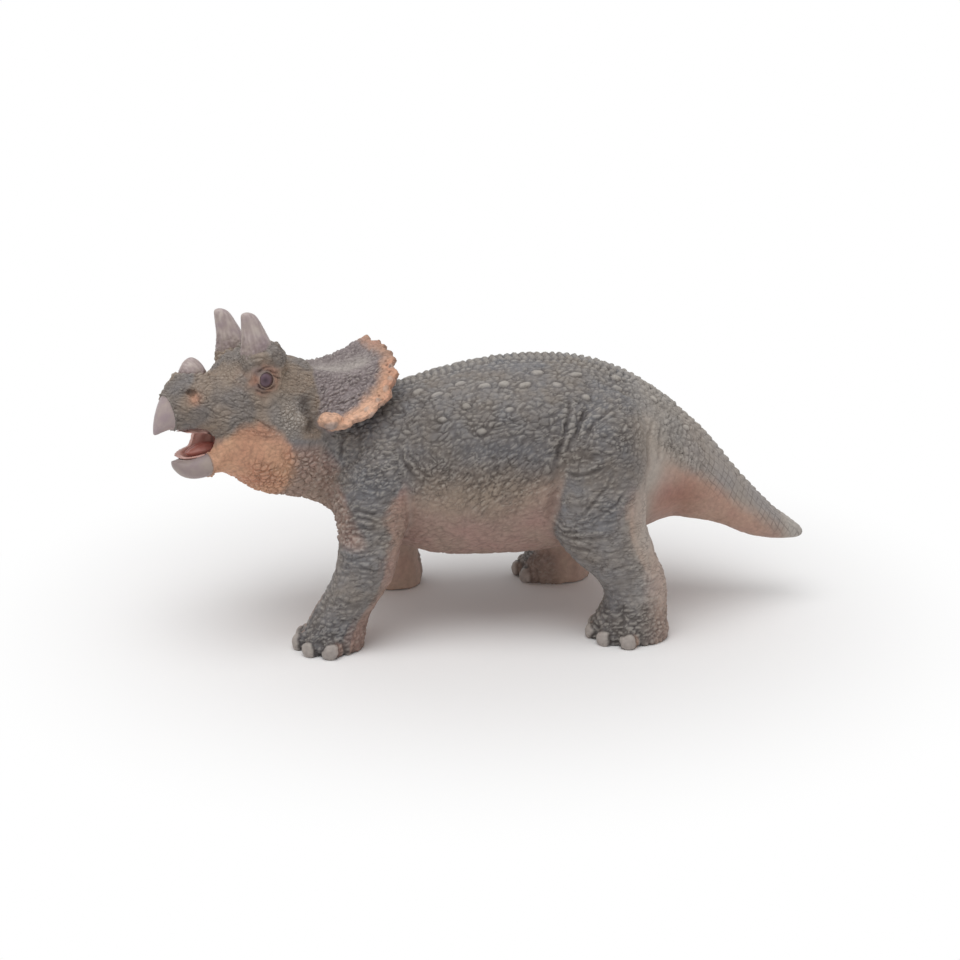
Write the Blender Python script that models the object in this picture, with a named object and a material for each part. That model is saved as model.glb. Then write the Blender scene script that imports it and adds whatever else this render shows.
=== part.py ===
"""Standing toy figure of a young three-horned dinosaur, glued up from separate soft vinyl castings.

The trunk is the base casting. Four legs, the tail and the head plug into it with round pegs, and the
head carries the frill, horns, beaks, eyes, jaw, mouth lining and tongue. The figure faces -X, stands on
Z = 0, and turns its head to its own left. Lengths are in metres.
"""

import math

import bmesh
import bpy
import numpy as np
from mathutils import Euler, Matrix, Vector

MM = 0.001

# Fits
GLUE_GAP = 0.3 * MM
OVERRUN = 2.0 * MM

# Trunk, from the neck to the tail seam
TRUNK_LENGTH = 64.0 * MM
TRUNK_DEPTH = 35.6 * MM
TRUNK_WIDTH = 38.0 * MM
BELLY_CLEARANCE = 12.2 * MM
TRUNK_FRONT = -29.2 * MM

# Each row: length share behind the front of the chest, top and bottom as shares of the depth above the
# belly line, width share, and how square the section is (2 is an ellipse)
TRUNK_SHARES = (
    (0.094, 0.856, 0.150, 0.68, 2.1),
    (0.203, 0.876, 0.056, 0.83, 2.1),
    (0.328, 0.938, 0.011, 0.95, 2.1),
    (0.484, 0.994, 0.000, 1.00, 2.1),
    (0.625, 1.000, 0.014, 0.99, 2.1),
    (0.750, 0.972, 0.045, 0.93, 2.1),
    (0.859, 0.900, 0.084, 0.80, 2.1),
    (0.953, 0.795, 0.132, 0.63, 2.0),
    (1.000, 0.728, 0.146, 0.55, 2.0),
)

# Tail, from the seam to the tip
TAIL_LENGTH = 24.8 * MM
TAIL_DROP = 14.8 * MM
TAIL_PEG_RADIUS = 4.0 * MM
TAIL_PEG_LENGTH = 6.0 * MM

# Each row: length share, drop share, and depth and width as shares of the tail's root
TAIL_SHARES = (
    (0.27, 0.270, 0.745, 0.790),
    (0.51, 0.592, 0.520, 0.577),
    (0.75, 0.853, 0.303, 0.375),
    (0.91, 0.965, 0.175, 0.225),
    (0.98, 0.995, 0.090, 0.110),
    (1.00, 1.000, 0.030, 0.040),
)

# Head, from the neck seam to the beak's tip, and its pose on the neck
HEAD_LENGTH = 28.5 * MM
SKULL_HEIGHT = 14.9 * MM
JAW_SEAM_DROP = 0.8 * MM
HEAD_WIDTH = 16.0 * MM
HEAD_AHEAD = 4.65 * MM
HEAD_ASIDE = 4.25 * MM
HEAD_HEIGHT = 36.9 * MM
HEAD_YAW = math.radians(25)
HEAD_PITCH = math.radians(8)
HEAD_ROLL = math.radians(-8)
HEAD_PEG_RADIUS = 2.4 * MM
HEAD_PEG_LENGTH = 4.5 * MM
HEAD_PEG_HEIGHT = 3.2 * MM
HEAD_PEG_DROP = 2.2 * MM
JAW_PEG_RADIUS = 1.6 * MM
JAW_PEG_LENGTH = 4.0 * MM
JAW_PEG_BACK = 6.5 * MM

# Each row: length share forward of the neck seam, top and bottom as shares of the skull's height, width
# share, squareness. The cheeks' rows serve the head and the jaw, which meet at the jaw seam
CHEEK_SHARES = (
    (0.520, 0.905, -0.490, 0.880, 2.4),
    (0.417, 0.970, -0.575, 0.950, 2.5),
    (0.312, 0.985, -0.692, 0.990, 2.4),
    (0.208, 0.955, -0.745, 1.000, 2.3),
    (0.104, 0.890, -0.773, 1.000, 2.2),
    (0.000, 0.825, -0.805, 0.975, 2.1),
)
SNOUT_SHARES = (
    (1.000, 0.027, -0.040, 0.050, 2.0),
    (0.985, 0.228, -0.036, 0.160, 2.0),
    (0.944, 0.440, 0.000, 0.290, 2.1),
    (0.896, 0.600, 0.028, 0.400, 2.2),
    (0.833, 0.690, 0.028, 0.510, 2.3),
    (0.747, 0.706, 0.015, 0.620, 2.3),
    (0.675, 0.692, -0.030, 0.710, 2.3),
    (0.625, 0.684, -0.180, 0.775, 2.3),
    (0.580, 0.745, -0.400, 0.830, 2.4),
)
CHIN_SHARES = (
    (0.875, -0.338, -0.375, 0.050, 2.0),
    (0.850, -0.334, -0.451, 0.210, 2.1),
    (0.800, -0.306, -0.528, 0.370, 2.2),
    (0.747, -0.246, -0.552, 0.490, 2.3),
    (0.694, -0.181, -0.540, 0.580, 2.3),
    (0.655, -0.080, -0.517, 0.650, 2.3),
    (0.620, 0.250, -0.490, 0.730, 2.3),
    (0.575, 0.740, -0.480, 0.820, 2.4),
)
# The neck's end, as shares of the skull's height and the head's width
NECK_TOP_SHARE = 0.58
NECK_BOTTOM_SHARE = 0.805
NECK_WIDTH_SHARE = 1.02
NECK_RINGS = 5

# Beak seams: both lean forward as they rise
UPPER_BEAK_LENGTH = 3.6 * MM
UPPER_BEAK_LEAN = math.radians(-17)
LOWER_BEAK_LENGTH = 6.2 * MM
LOWER_BEAK_LEAN = math.radians(-14)
LOWER_BEAK_DEPTH = 7.5 * MM
BEAK_PEG_RADIUS = 0.9 * MM
BEAK_PEG_LENGTH = 2.4 * MM
BEAK_PEG_ROOT = 1.0 * MM
BEAK_PEG_HEIGHT = 2.8 * MM

# Mouth: an open pouch between the jaws, with its lining and tongue
MOUTH_LENGTH = 12.6 * MM
MOUTH_WIDTH = 6.8 * MM
MOUTH_HEIGHT = 8.0 * MM
MOUTH_BACK = 12.4 * MM
MOUTH_DROP = 2.2 * MM
MOUTH_CORNER = 18.8 * MM
GAPE_TOP_DROP = 0.1 * MM
GAPE_DROP = 2.7 * MM
GAPE_SLOPE = math.radians(-25)
LINING_WALL = 0.8 * MM
LINING_FRONT_SHARE = 0.86
TONGUE_LENGTH = 7.4 * MM
TONGUE_WIDTH = 3.8 * MM
TONGUE_HEIGHT = 3.4 * MM
TONGUE_BACK = 15.4 * MM
TONGUE_DROP = 3.6 * MM
TONGUE_TILT = math.radians(-14)

# Horns
BROW_HORN_HEIGHT = 6.6 * MM
BROW_HORN_LENGTH = 6.2 * MM
BROW_HORN_WIDTH = 4.9 * MM
BROW_HORN_SWEEP = 2.5 * MM
BROW_HORN_SPLAY = 0.5 * MM
NOSE_HORN_HEIGHT = 2.7 * MM
NOSE_HORN_LENGTH = 5.0 * MM
NOSE_HORN_WIDTH = 3.8 * MM
NOSE_HORN_SWEEP = 0.3 * MM
HORN_CURVE = 1.3
HORN_ROOT = 1.6 * MM
HORN_PEG_RADIUS = 0.8 * MM
HORN_PEG_LENGTH = 1.5 * MM
HORN_PEG_FORWARD = 1.2 * MM
HORN_PEG_INWARD = 1.3 * MM
BROW_HORN_PLACE_SHARES = (0.408, 0.620, 0.980)
NOSE_HORN_PLACE_SHARES = (0.757, 0.000, 0.690)
BROW_BOSS_LENGTH = 8.8 * MM
BROW_BOSS_WIDTH = 5.6 * MM
BROW_BOSS_HEIGHT = 5.6 * MM
BROW_BOSS_BACK = 1.3 * MM

# Each row: height share, girth share
HORN_SHARES = (
    (0.00, 1.00),
    (0.25, 0.86),
    (0.50, 0.72),
    (0.75, 0.58),
    (0.90, 0.46),
    (0.97, 0.30),
    (1.00, 0.08),
)
NOSE_HORN_SHARES = (
    (0.00, 1.00),
    (0.30, 0.90),
    (0.60, 0.70),
    (0.85, 0.42),
    (0.96, 0.20),
    (1.00, 0.05),
)

# Eyes, lids, nostrils and cheek points
EYE_RADIUS = 1.9 * MM
EYE_PLACE_SHARES = (0.390, 0.790, 0.650)
LID_THICKNESS = 0.8 * MM
LID_STANDOFF = 0.5 * MM
NOSTRIL_RADIUS = 0.9 * MM
NOSTRIL_PLACE_SHARES = (0.823, 0.500, 0.480)
CHEEK_POINT_LENGTH = 4.4 * MM
CHEEK_POINT_WIDTH = 2.6 * MM
CHEEK_POINT_HEIGHT = 3.2 * MM
CHEEK_POINT_PLACE_SHARES = (0.140, 0.940, 0.160)

# Frill: a saddle-shaped shield with a scalloped rim
FRILL_LENGTH = 13.8 * MM
FRILL_WIDTH = 28.4 * MM
FRILL_HEIGHT = 15.4 * MM
FRILL_THICKNESS = 1.9 * MM
FRILL_ROOT_THICKNESS = 4.6 * MM
FRILL_RIM_THICKNESS = 1.5 * MM
FRILL_LOWEST = 1.4 * MM
FRILL_SEAT = 2.5 * MM
FRILL_SCALLOP = 0.9 * MM
FRILL_SAG = 1.5 * MM
FRILL_PEG_RADIUS = 0.9 * MM
FRILL_PEG_LENGTH = 3.4 * MM
FRILL_PEG_ROOT = 1.0 * MM
FRILL_PEG_HEIGHT = 10.7 * MM
FRILL_SCALLOPS = 12
SCALLOP_COLUMNS = 4
FRILL_ROWS = 6

# Each row, from the middle of the frill to its lower corner: rim length, rim width and rim height shares,
# then the root's width and height as shares of the head's half width and the skull's height
FRILL_SHARES = (
    (0.940, 0.000, 1.000, 0.00, 0.800),
    (1.000, 0.280, 0.935, 0.34, 0.780),
    (0.985, 0.530, 0.835, 0.60, 0.690),
    (0.915, 0.730, 0.690, 0.74, 0.570),
    (0.800, 0.890, 0.510, 0.81, 0.450),
    (0.620, 0.970, 0.330, 0.84, 0.360),
    (0.385, 1.000, 0.190, 0.85, 0.290),
    (0.125, 0.945, 0.075, 0.85, 0.225),
    (-0.060, 0.850, 0.040, 0.82, 0.180),
)

# Legs: pegs sit this far under the outer skin
LEG_PEG_RADIUS = 2.4 * MM
LEG_PEG_LENGTH = 8.5 * MM
LEG_PEG_COVER = 1.7 * MM
FORELEG_HEIGHT = 38.5 * MM
FORELEG_LENGTH = 16.0 * MM
FORELEG_WIDTH = 11.6 * MM
SHOULDER_SHARE = 0.172
HINDLEG_HEIGHT = 44.0 * MM
HINDLEG_LENGTH = 17.4 * MM
HINDLEG_WIDTH = 13.6 * MM
HIP_SHARE = 0.750

# Each row: height share, outward share of the trunk's half width, length share, width share
FORELEG_SHARES = (
    (0.000, 0.842, 0.680, 0.98),
    (0.039, 0.842, 0.710, 1.00),
    (0.086, 0.842, 0.680, 0.94),
    (0.166, 0.832, 0.640, 0.86),
    (0.260, 0.821, 0.655, 0.86),
    (0.364, 0.805, 0.665, 0.89),
    (0.468, 0.774, 0.690, 0.94),
    (0.571, 0.700, 0.800, 0.95),
    (0.701, 0.615, 0.960, 0.97),
    (0.831, 0.550, 0.900, 0.93),
    (0.935, 0.490, 0.620, 0.78),
    (1.000, 0.450, 0.250, 0.40),
)
HINDLEG_SHARES = (
    (0.000, 0.868, 0.750, 0.88),
    (0.034, 0.868, 0.790, 0.91),
    (0.080, 0.863, 0.755, 0.86),
    (0.125, 0.853, 0.700, 0.79),
    (0.182, 0.842, 0.655, 0.75),
    (0.250, 0.832, 0.710, 0.78),
    (0.318, 0.821, 0.830, 0.86),
    (0.398, 0.805, 0.930, 0.93),
    (0.477, 0.789, 0.985, 0.97),
    (0.614, 0.768, 1.010, 1.00),
    (0.750, 0.726, 1.020, 0.94),
    (0.864, 0.650, 0.960, 0.79),
    (0.955, 0.520, 0.770, 0.59),
    (1.000, 0.430, 0.400, 0.30),
)
# How far each row of a leg stands ahead of its shoulder or hip, as shares of the leg's height
FRONT_LEFT_STEP_SHARES = (0.290, 0.292, 0.278, 0.242, 0.182, 0.132, 0.109, 0.091, 0.073, 0.039, 0.0, -0.026)
FRONT_RIGHT_STEP_SHARES = (
    -0.047, -0.047, -0.047, -0.042, -0.031, -0.016, 0.0, 0.013, 0.026, 0.021, 0.0, -0.026,
)
HIND_LEFT_STEP_SHARES = (
    -0.127, -0.127, -0.127, -0.136, -0.150, -0.132, -0.075, -0.030, 0.005, 0.011, 0.011, 0.005, 0.0, 0.0,
)
HIND_RIGHT_STEP_SHARES = (
    0.086, 0.086, 0.078, 0.059, 0.027, 0.009, 0.014, 0.032, 0.045, 0.041, 0.027, 0.011, 0.0, 0.0,
)
FORELEG_PEG_ROW = 8
HINDLEG_PEG_ROW = 9
LEG_FULLNESS = 2.2

# Toes: blunt nails round the front of each foot, at these angles outward of straight ahead
TOE_LENGTH = 4.6 * MM
TOE_WIDTH = 3.9 * MM
TOE_HEIGHT = 4.2 * MM
TOE_LIFT = 1.2 * MM
TOE_REACH_SHARE = 0.88
FORE_TOE_ANGLES = (-32, 8, 46, 84)
HIND_TOE_ANGLES = (-34, 4, 40, 78)

# Facets
BODY_FACETS = 28
HEAD_FACETS = 28
LEG_FACETS = 18
HORN_FACETS = 14
PEG_FACETS = 16
LID_STEPS = 20
LID_FACETS = 8

# Paint
SKIN_COLOUR = (0.19, 0.20, 0.19, 1.0)
JAW_COLOUR = (0.55, 0.33, 0.22, 1.0)
RIM_COLOUR = (0.42, 0.32, 0.26, 1.0)
HORN_COLOUR = (0.48, 0.43, 0.42, 1.0)
MOUTH_COLOUR = (0.36, 0.10, 0.09, 1.0)
TONGUE_COLOUR = (0.50, 0.19, 0.17, 1.0)
EYE_COLOUR = (0.06, 0.03, 0.04, 1.0)
SKIN_ROUGHNESS = 0.6
HORN_ROUGHNESS = 0.5
WET_ROUGHNESS = 0.35
EYE_ROUGHNESS = 0.1

SIDES = {"left": -1, "right": 1}


# Tools

def clear_scene():
    for item in list(bpy.data.objects):
        bpy.data.objects.remove(item)


def new_collection(name):
    collection = bpy.data.collections.new(name)
    bpy.context.scene.collection.children.link(collection)
    return collection


def frame(name, parent, matrix):
    """An empty that carries pieces."""
    empty = bpy.data.objects.new(name, None)
    figure_parts.objects.link(empty)
    empty.parent = parent
    empty.matrix_local = matrix
    return empty


def painted(name, colour, roughness):
    material = bpy.data.materials.new(name)
    material.use_nodes = True
    shader = material.node_tree.nodes["Principled BSDF"]
    shader.inputs["Base Color"].default_value = colour
    shader.inputs["Roughness"].default_value = roughness
    return material


def mesh_object(name, shape, parent, material=None):
    """Turns a bmesh into a piece or, with no material, into a hidden cutter."""
    bmesh.ops.recalc_face_normals(shape, faces=shape.faces)
    mesh = bpy.data.meshes.new(name)
    shape.to_mesh(mesh)
    shape.free()
    mesh.shade_smooth()
    item = bpy.data.objects.new(name, mesh)
    item.parent = parent
    if material is None:
        item.hide_render = True
        item.display_type = "WIRE"
        cutters.objects.link(item)
    else:
        mesh.materials.append(material)
        figure_parts.objects.link(item)
    return item


def boolean(target, other, operation):
    modifier = target.modifiers.new(f"{operation.lower()} {other.name}", "BOOLEAN")
    modifier.object = other
    modifier.operation = operation
    modifier.solver = "EXACT"


def cut(target, *others):
    for other in others:
        boolean(target, other, "DIFFERENCE")


def join(target, *others):
    for other in others:
        boolean(target, other, "UNION")


def trim_to(target, other):
    boolean(target, other, "INTERSECT")


def smoothed(rows, steps):
    """A table's rows with more between each two, all on one smooth curve."""
    rows = np.array(rows, float)
    padded = np.vstack((2 * rows[0] - rows[1], rows, 2 * rows[-1] - rows[-2]))
    curve = []
    for before, start, end, after in zip(padded, padded[1:], padded[2:], padded[3:]):
        for step in range(steps):
            t = step / steps
            bend = (2 * before - 5 * start + 4 * end - after) * t**2
            twist = (3 * start - before - 3 * end + after) * t**3
            curve.append((2 * start + (end - before) * t + bend + twist) / 2)
    curve.append(rows[-1])
    return curve


def rounded(value, fullness):
    return math.copysign(abs(value) ** (2 / fullness), value)


def section(centre, across, up, half_width, half_height, fullness, points):
    """One closed ring of a loft, in the plane of across and up."""
    ring = []
    for index in range(points):
        angle = math.tau * index / points
        sideways = half_width * rounded(math.cos(angle), fullness)
        upward = half_height * rounded(math.sin(angle), fullness)
        ring.append(centre + across * sideways + up * upward)
    return ring


def upright(centre, half_width, half_height, fullness, points):
    """A ring square to the length of the body or the head."""
    return section(centre, Vector((0, 1, 0)), Vector((0, 0, 1)), half_width, half_height, fullness, points)


def level_ring(centre, half_length, half_width, fullness, points):
    """A level ring, its length along X."""
    return section(centre, Vector((1, 0, 0)), Vector((0, 1, 0)), half_length, half_width, fullness, points)


def lofted(rings, looped=False):
    """A closed skin through rings with as many points each; its ends are flat, or meet in a loop."""
    shape = bmesh.new()
    loops = [[shape.verts.new(point) for point in ring] for ring in rings]
    pairs = list(zip(loops, loops[1:]))
    if looped:
        pairs.append((loops[-1], loops[0]))
    else:
        shape.faces.new(loops[0])
        shape.faces.new(loops[-1])
    for ring, following in pairs:
        for index in range(len(ring)):
            after = (index + 1) % len(ring)
            shape.faces.new((ring[index], ring[after], following[after], following[index]))
    return shape


def ellipsoid(name, parent, centre, semi_axes, segments=16, turn=0.0, material=None):
    shape = bmesh.new()
    place = Matrix.Translation(centre) @ Matrix.Rotation(turn, 4, "Y") @ Matrix.Diagonal((*semi_axes, 1))
    bmesh.ops.create_uvsphere(shape, u_segments=segments, v_segments=segments // 2, radius=1, matrix=place)
    return mesh_object(name, shape, parent, material)


def peg(name, parent, start, end, radius):
    """A round peg, or the cutter for its socket."""
    start, end = Vector(start), Vector(end)
    way = end - start
    shape = bmesh.new()
    place = Matrix.Translation((start + end) / 2) @ way.to_track_quat("Z", "Y").to_matrix().to_4x4()
    ends = {"radius1": radius, "radius2": radius, "depth": way.length}
    bmesh.ops.create_cone(shape, cap_ends=True, segments=PEG_FACETS, matrix=place, **ends)
    return mesh_object(name, shape, parent)


def plug(target, socket_owner, name, parent, start, end, radius):
    """Joins a peg to one piece and cuts its socket, a glue gap larger, into another."""
    start, end = Vector(start), Vector(end)
    beyond = (end - start).normalized() * GLUE_GAP
    join(target, peg(f"{name} peg", parent, start, end, radius))
    cut(socket_owner, peg(f"{name} socket", parent, start, end + beyond, radius + GLUE_GAP))


def block(name, parent, low, high, lean=0.0):
    """A box for trimming, turned about its own Y-parallel axis through the origin of the matrix."""
    low, high = Vector(low), Vector(high)
    shape = bmesh.new()
    place = Matrix.Translation((low + high) / 2) @ Matrix.Diagonal((*(high - low), 1))
    bmesh.ops.create_cube(shape, size=1, matrix=place)
    item = mesh_object(name, shape, parent)
    item.rotation_euler = Euler((0, lean, 0))
    return item


# Trunk and tail, one form that the tail seam divides

def head_matrix():
    place = Vector((TRUNK_FRONT - HEAD_AHEAD, -HEAD_ASIDE, HEAD_HEIGHT))
    turn = (
        Matrix.Rotation(HEAD_YAW, 4, "Z")
        @ Matrix.Rotation(HEAD_PITCH, 4, "Y")
        @ Matrix.Rotation(HEAD_ROLL, 4, "X")
    )
    return Matrix.Translation(place) @ turn


def trunk_rows():
    """Rows of place, top, bottom, half width and squareness, from the front of the trunk to its tail seam."""
    return [
        (
            TRUNK_FRONT + along * TRUNK_LENGTH,
            BELLY_CLEARANCE + top * TRUNK_DEPTH,
            BELLY_CLEARANCE + bottom * TRUNK_DEPTH,
            width * TRUNK_WIDTH / 2,
            fullness,
        )
        for along, top, bottom, width, fullness in TRUNK_SHARES
    ]


def tail_rows():
    root_place, root_top, root_bottom, root_width, fullness = trunk_rows()[-1]
    middle, half_depth = (root_top + root_bottom) / 2, (root_top - root_bottom) / 2
    rows = []
    for along, drop, depth, width in TAIL_SHARES:
        height = middle - drop * TAIL_DROP
        rows.append(
            (
                root_place + along * TAIL_LENGTH,
                height + depth * half_depth,
                height - depth * half_depth,
                width * root_width,
                fullness,
            )
        )
    return rows


def neck_ring(grow, beyond):
    """The neck's end face against the head, in the figure's frame."""
    top, bottom = NECK_TOP_SHARE * SKULL_HEIGHT, -NECK_BOTTOM_SHARE * SKULL_HEIGHT
    centre = Vector((beyond, 0, (top + bottom) / 2))
    half_width = NECK_WIDTH_SHARE * HEAD_WIDTH / 2 + grow
    flat = upright(centre, half_width, (top - bottom) / 2 + grow, 2, BODY_FACETS)
    return [head_matrix() @ point for point in flat]


def body_rings(grow=0.0):
    """Every ring of neck, trunk and tail, from the head seam to the tail's tip."""
    back = []
    for place, top, bottom, half_width, fullness in smoothed(trunk_rows() + tail_rows(), 3):
        centre = Vector((place, 0, (top + bottom) / 2))
        half_height = (top - bottom) / 2 + grow
        back.append(upright(centre, half_width + grow, half_height, fullness, BODY_FACETS))
    collar = neck_ring(grow, GLUE_GAP - grow)
    forward = head_matrix().to_3x3() @ Vector((-1, 0, 0))
    neck = []
    for step in range(NECK_RINGS, 0, -1):
        t = step / NECK_RINGS
        ring = []
        for near, far in zip(back[0], collar):
            reach = (far - near).length
            leave, arrive = Vector((-reach, 0, 0)), forward * reach
            ring.append(
                near * (2 * t**3 - 3 * t**2 + 1)
                + leave * (t**3 - 2 * t**2 + t)
                + far * (3 * t**2 - 2 * t**3)
                + arrive * (t**3 - t**2)
            )
        neck.append(ring)
    return neck + back


def tail_seam():
    return TRUNK_FRONT + TRUNK_LENGTH


def sliced(shape, place, keep_front):
    """Cuts a form square at a place along the body and closes the cut."""
    geometry = shape.verts[:] + shape.edges[:] + shape.faces[:]
    result = bmesh.ops.bisect_plane(
        shape,
        geom=geometry,
        plane_co=(place, 0, 0),
        plane_no=(1, 0, 0),
        clear_outer=keep_front,
        clear_inner=not keep_front,
    )
    edges = [item for item in result["geom_cut"] if isinstance(item, bmesh.types.BMEdge)]
    bmesh.ops.edgeloop_fill(shape, edges=edges)
    return shape


def make_trunk():
    return mesh_object("torso", sliced(lofted(body_rings()), tail_seam(), True), figure, skin)


def make_tail(torso):
    tail = mesh_object("tail", sliced(lofted(body_rings()), tail_seam() + GLUE_GAP, False), figure, skin)
    _, top, bottom, _, _ = trunk_rows()[-1]
    middle = (top + bottom) / 2
    start = (tail_seam() + OVERRUN, 0, middle)
    plug(tail, torso, "tail", figure, start, (tail_seam() - TAIL_PEG_LENGTH, 0, middle), TAIL_PEG_RADIUS)
    return tail


# Legs, each a stack of level rings from sole to shoulder or hip

def leg_rows(shares, steps, side, root_share, height, length, width):
    """Rows of centre and half sizes, from the sole up."""
    root = TRUNK_FRONT + root_share * TRUNK_LENGTH
    rows = []
    for (rise, outward, long, wide), step in zip(shares, steps):
        rows.append(
            (
                root - step * height,
                side * outward * TRUNK_WIDTH / 2,
                rise * height,
                long * length / 2,
                wide * width / 2,
            )
        )
    return rows


def toe(name, parent, foot, side, angle):
    """One blunt nail on the rim of a foot, its long way along the radius."""
    x, y, _, half_length, half_width = foot
    turn = math.radians(angle)
    way = Vector((-math.cos(turn), side * math.sin(turn), 0))
    reach = Vector((half_length, half_width, 0)) * TOE_REACH_SHARE
    rim = Vector((x + way.x * reach.x, y + way.y * reach.y, TOE_LIFT))
    shape = bmesh.new()
    heading = Matrix.Rotation(math.atan2(way.y, way.x), 4, "Z")
    size = Matrix.Diagonal((TOE_LENGTH / 2, TOE_WIDTH / 2, TOE_HEIGHT / 2, 1))
    place = Matrix.Translation(rim) @ heading @ size
    bmesh.ops.create_icosphere(shape, subdivisions=2, radius=1, matrix=place)
    return mesh_object(name, shape, parent)


def make_leg(name, torso, body_cutter, floor, rows, side, toe_angles, peg_row):
    rings = []
    for x, y, z, half_length, half_width in smoothed(rows, 2):
        rings.append(level_ring(Vector((x, y, z)), half_length, half_width, LEG_FULLNESS, LEG_FACETS))
    sole = [point - Vector((0, 0, OVERRUN)) for point in rings[0]]
    leg = mesh_object(name, lofted([sole] + rings), figure, skin)
    for number, angle in enumerate(toe_angles, 1):
        join(leg, toe(f"{name} toe {number}", figure, rows[0], side, angle))
    cut(leg, floor, body_cutter)
    x, y, z, _, half_width = rows[peg_row]
    outer = y + side * (half_width - LEG_PEG_COVER)
    start, end = (x, outer, z), (x, outer - side * LEG_PEG_LENGTH, z)
    plug(leg, torso, name, figure, start, end, LEG_PEG_RADIUS)
    return leg


def make_legs(torso):
    body_cutter = mesh_object("trunk form for the legs", lofted(body_rings(GLUE_GAP)), figure)
    reach = TRUNK_LENGTH + TRUNK_WIDTH
    floor = block("floor", figure, (-reach, -reach, -reach), (reach, reach, 0))
    fore = (SHOULDER_SHARE, FORELEG_HEIGHT, FORELEG_LENGTH, FORELEG_WIDTH)
    hind = (HIP_SHARE, HINDLEG_HEIGHT, HINDLEG_LENGTH, HINDLEG_WIDTH)
    plans = (
        ("front", "left", FRONT_LEFT_STEP_SHARES),
        ("front", "right", FRONT_RIGHT_STEP_SHARES),
        ("hind", "left", HIND_LEFT_STEP_SHARES),
        ("hind", "right", HIND_RIGHT_STEP_SHARES),
    )
    kinds = {
        "front": (FORELEG_SHARES, fore, FORE_TOE_ANGLES, FORELEG_PEG_ROW),
        "hind": (HINDLEG_SHARES, hind, HIND_TOE_ANGLES, HINDLEG_PEG_ROW),
    }
    for end, side, steps in plans:
        shares, sizes, toe_angles, peg_row = kinds[end]
        rows = leg_rows(shares, steps, SIDES[side], *sizes)
        make_leg(f"{end}_leg_{side}", torso, body_cutter, floor, rows, SIDES[side], toe_angles, peg_row)


# Head, in its own frame: the neck seam is at X = 0, the jaw seam at Z = 0, and the beak points to -X

def in_head(place_shares):
    """A place on the right of the head, from shares of its length forward, half width and skull height."""
    forward, outward, rise = place_shares
    return Vector((-forward * HEAD_LENGTH, outward * HEAD_WIDTH / 2, rise * SKULL_HEIGHT))


def mirrored(place, side):
    return Vector((place.x, side * place.y, place.z))


def head_form(name, rows, grow=0.0, material=None):
    """A loft along the head through rows of place, top, bottom, half width and squareness."""
    rings = []
    for place, top, bottom, half_width, fullness in smoothed(rows, 2):
        centre = Vector((place, 0, (top + bottom) / 2))
        half_height = (top - bottom) / 2 + grow
        rings.append(upright(centre, half_width + grow, half_height, fullness, HEAD_FACETS))
    if grow:
        rings.append([point + Vector((grow, 0, 0)) for point in rings[-1]])
    return mesh_object(name, lofted(rings), head_frame, material)


def head_rows(front_shares):
    """Rows for the head or the jaw, from its tip to the neck seam."""
    return [
        (-along * HEAD_LENGTH, top * SKULL_HEIGHT, bottom * SKULL_HEIGHT, width * HEAD_WIDTH / 2, fullness)
        for along, top, bottom, width, fullness in front_shares + CHEEK_SHARES
    ]


def seam_blocks(name, back, height, lean):
    """Two trimming boxes with a glue gap between them at a leaning seam: all ahead of it, and all behind."""
    reach = HEAD_LENGTH + SKULL_HEIGHT
    hinge = frame(f"{name} seam", head_frame, Matrix.Translation((-back, 0, height)))
    ahead = block(f"{name} ahead", hinge, (-reach, -reach, -reach), (0, reach, reach), lean)
    behind = block(f"{name} behind", hinge, (-GLUE_GAP, -reach, -reach), (reach, reach, reach), lean)
    return ahead, behind


def mouth_form(name, inset, material=None):
    """The pouch of the mouth, drawn in by an inset."""
    semi_axes = (MOUTH_LENGTH / 2 - inset, MOUTH_WIDTH / 2 - inset, MOUTH_HEIGHT / 2 - inset)
    centre = (-MOUTH_BACK - MOUTH_LENGTH / 2, 0, -MOUTH_DROP)
    return ellipsoid(name, head_frame, centre, semi_axes, 20, material=material)


def eyelid(side_name, side):
    """A ring of lid round the eye, facing outward."""
    centre = mirrored(in_head(EYE_PLACE_SHARES), side) + Vector((0, side * LID_STANDOFF, 0))
    rings = []
    for step in range(LID_STEPS):
        turn = math.tau * step / LID_STEPS
        way = Vector((math.cos(turn), 0, math.sin(turn)))
        middle = centre + way * (EYE_RADIUS + LID_THICKNESS / 4)
        outward = Vector((0, side, 0))
        rings.append(section(middle, way, outward, LID_THICKNESS / 2, LID_THICKNESS, 2, LID_FACETS))
    return mesh_object(f"{side_name} eyelid", lofted(rings, looped=True), head_frame)


def make_skull():
    """The head above the jaw seam and behind the upper beak."""
    head = head_form("head", head_rows(SNOUT_SHARES), material=skin)
    for side_name, side in SIDES.items():
        brow = mirrored(in_head(BROW_HORN_PLACE_SHARES), side)
        brow += Vector((BROW_BOSS_BACK, 0, -BROW_BOSS_HEIGHT / 2))
        boss_axes = (BROW_BOSS_LENGTH / 2, BROW_BOSS_WIDTH / 2, BROW_BOSS_HEIGHT / 2)
        cheek = mirrored(in_head(CHEEK_POINT_PLACE_SHARES), side)
        cheek_axes = (CHEEK_POINT_LENGTH / 2, CHEEK_POINT_WIDTH / 2, CHEEK_POINT_HEIGHT / 2)
        join(
            head,
            ellipsoid(f"{side_name} brow boss", head_frame, brow, boss_axes),
            ellipsoid(f"{side_name} cheek point", head_frame, cheek, cheek_axes, 12),
            eyelid(side_name, side),
        )
    reach = HEAD_LENGTH + HEAD_WIDTH
    seam = GLUE_GAP / 2 - JAW_SEAM_DROP
    cut(head, block("jaw side", head_frame, (-reach, -reach, -reach), (reach, reach, seam)))
    return head


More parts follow.
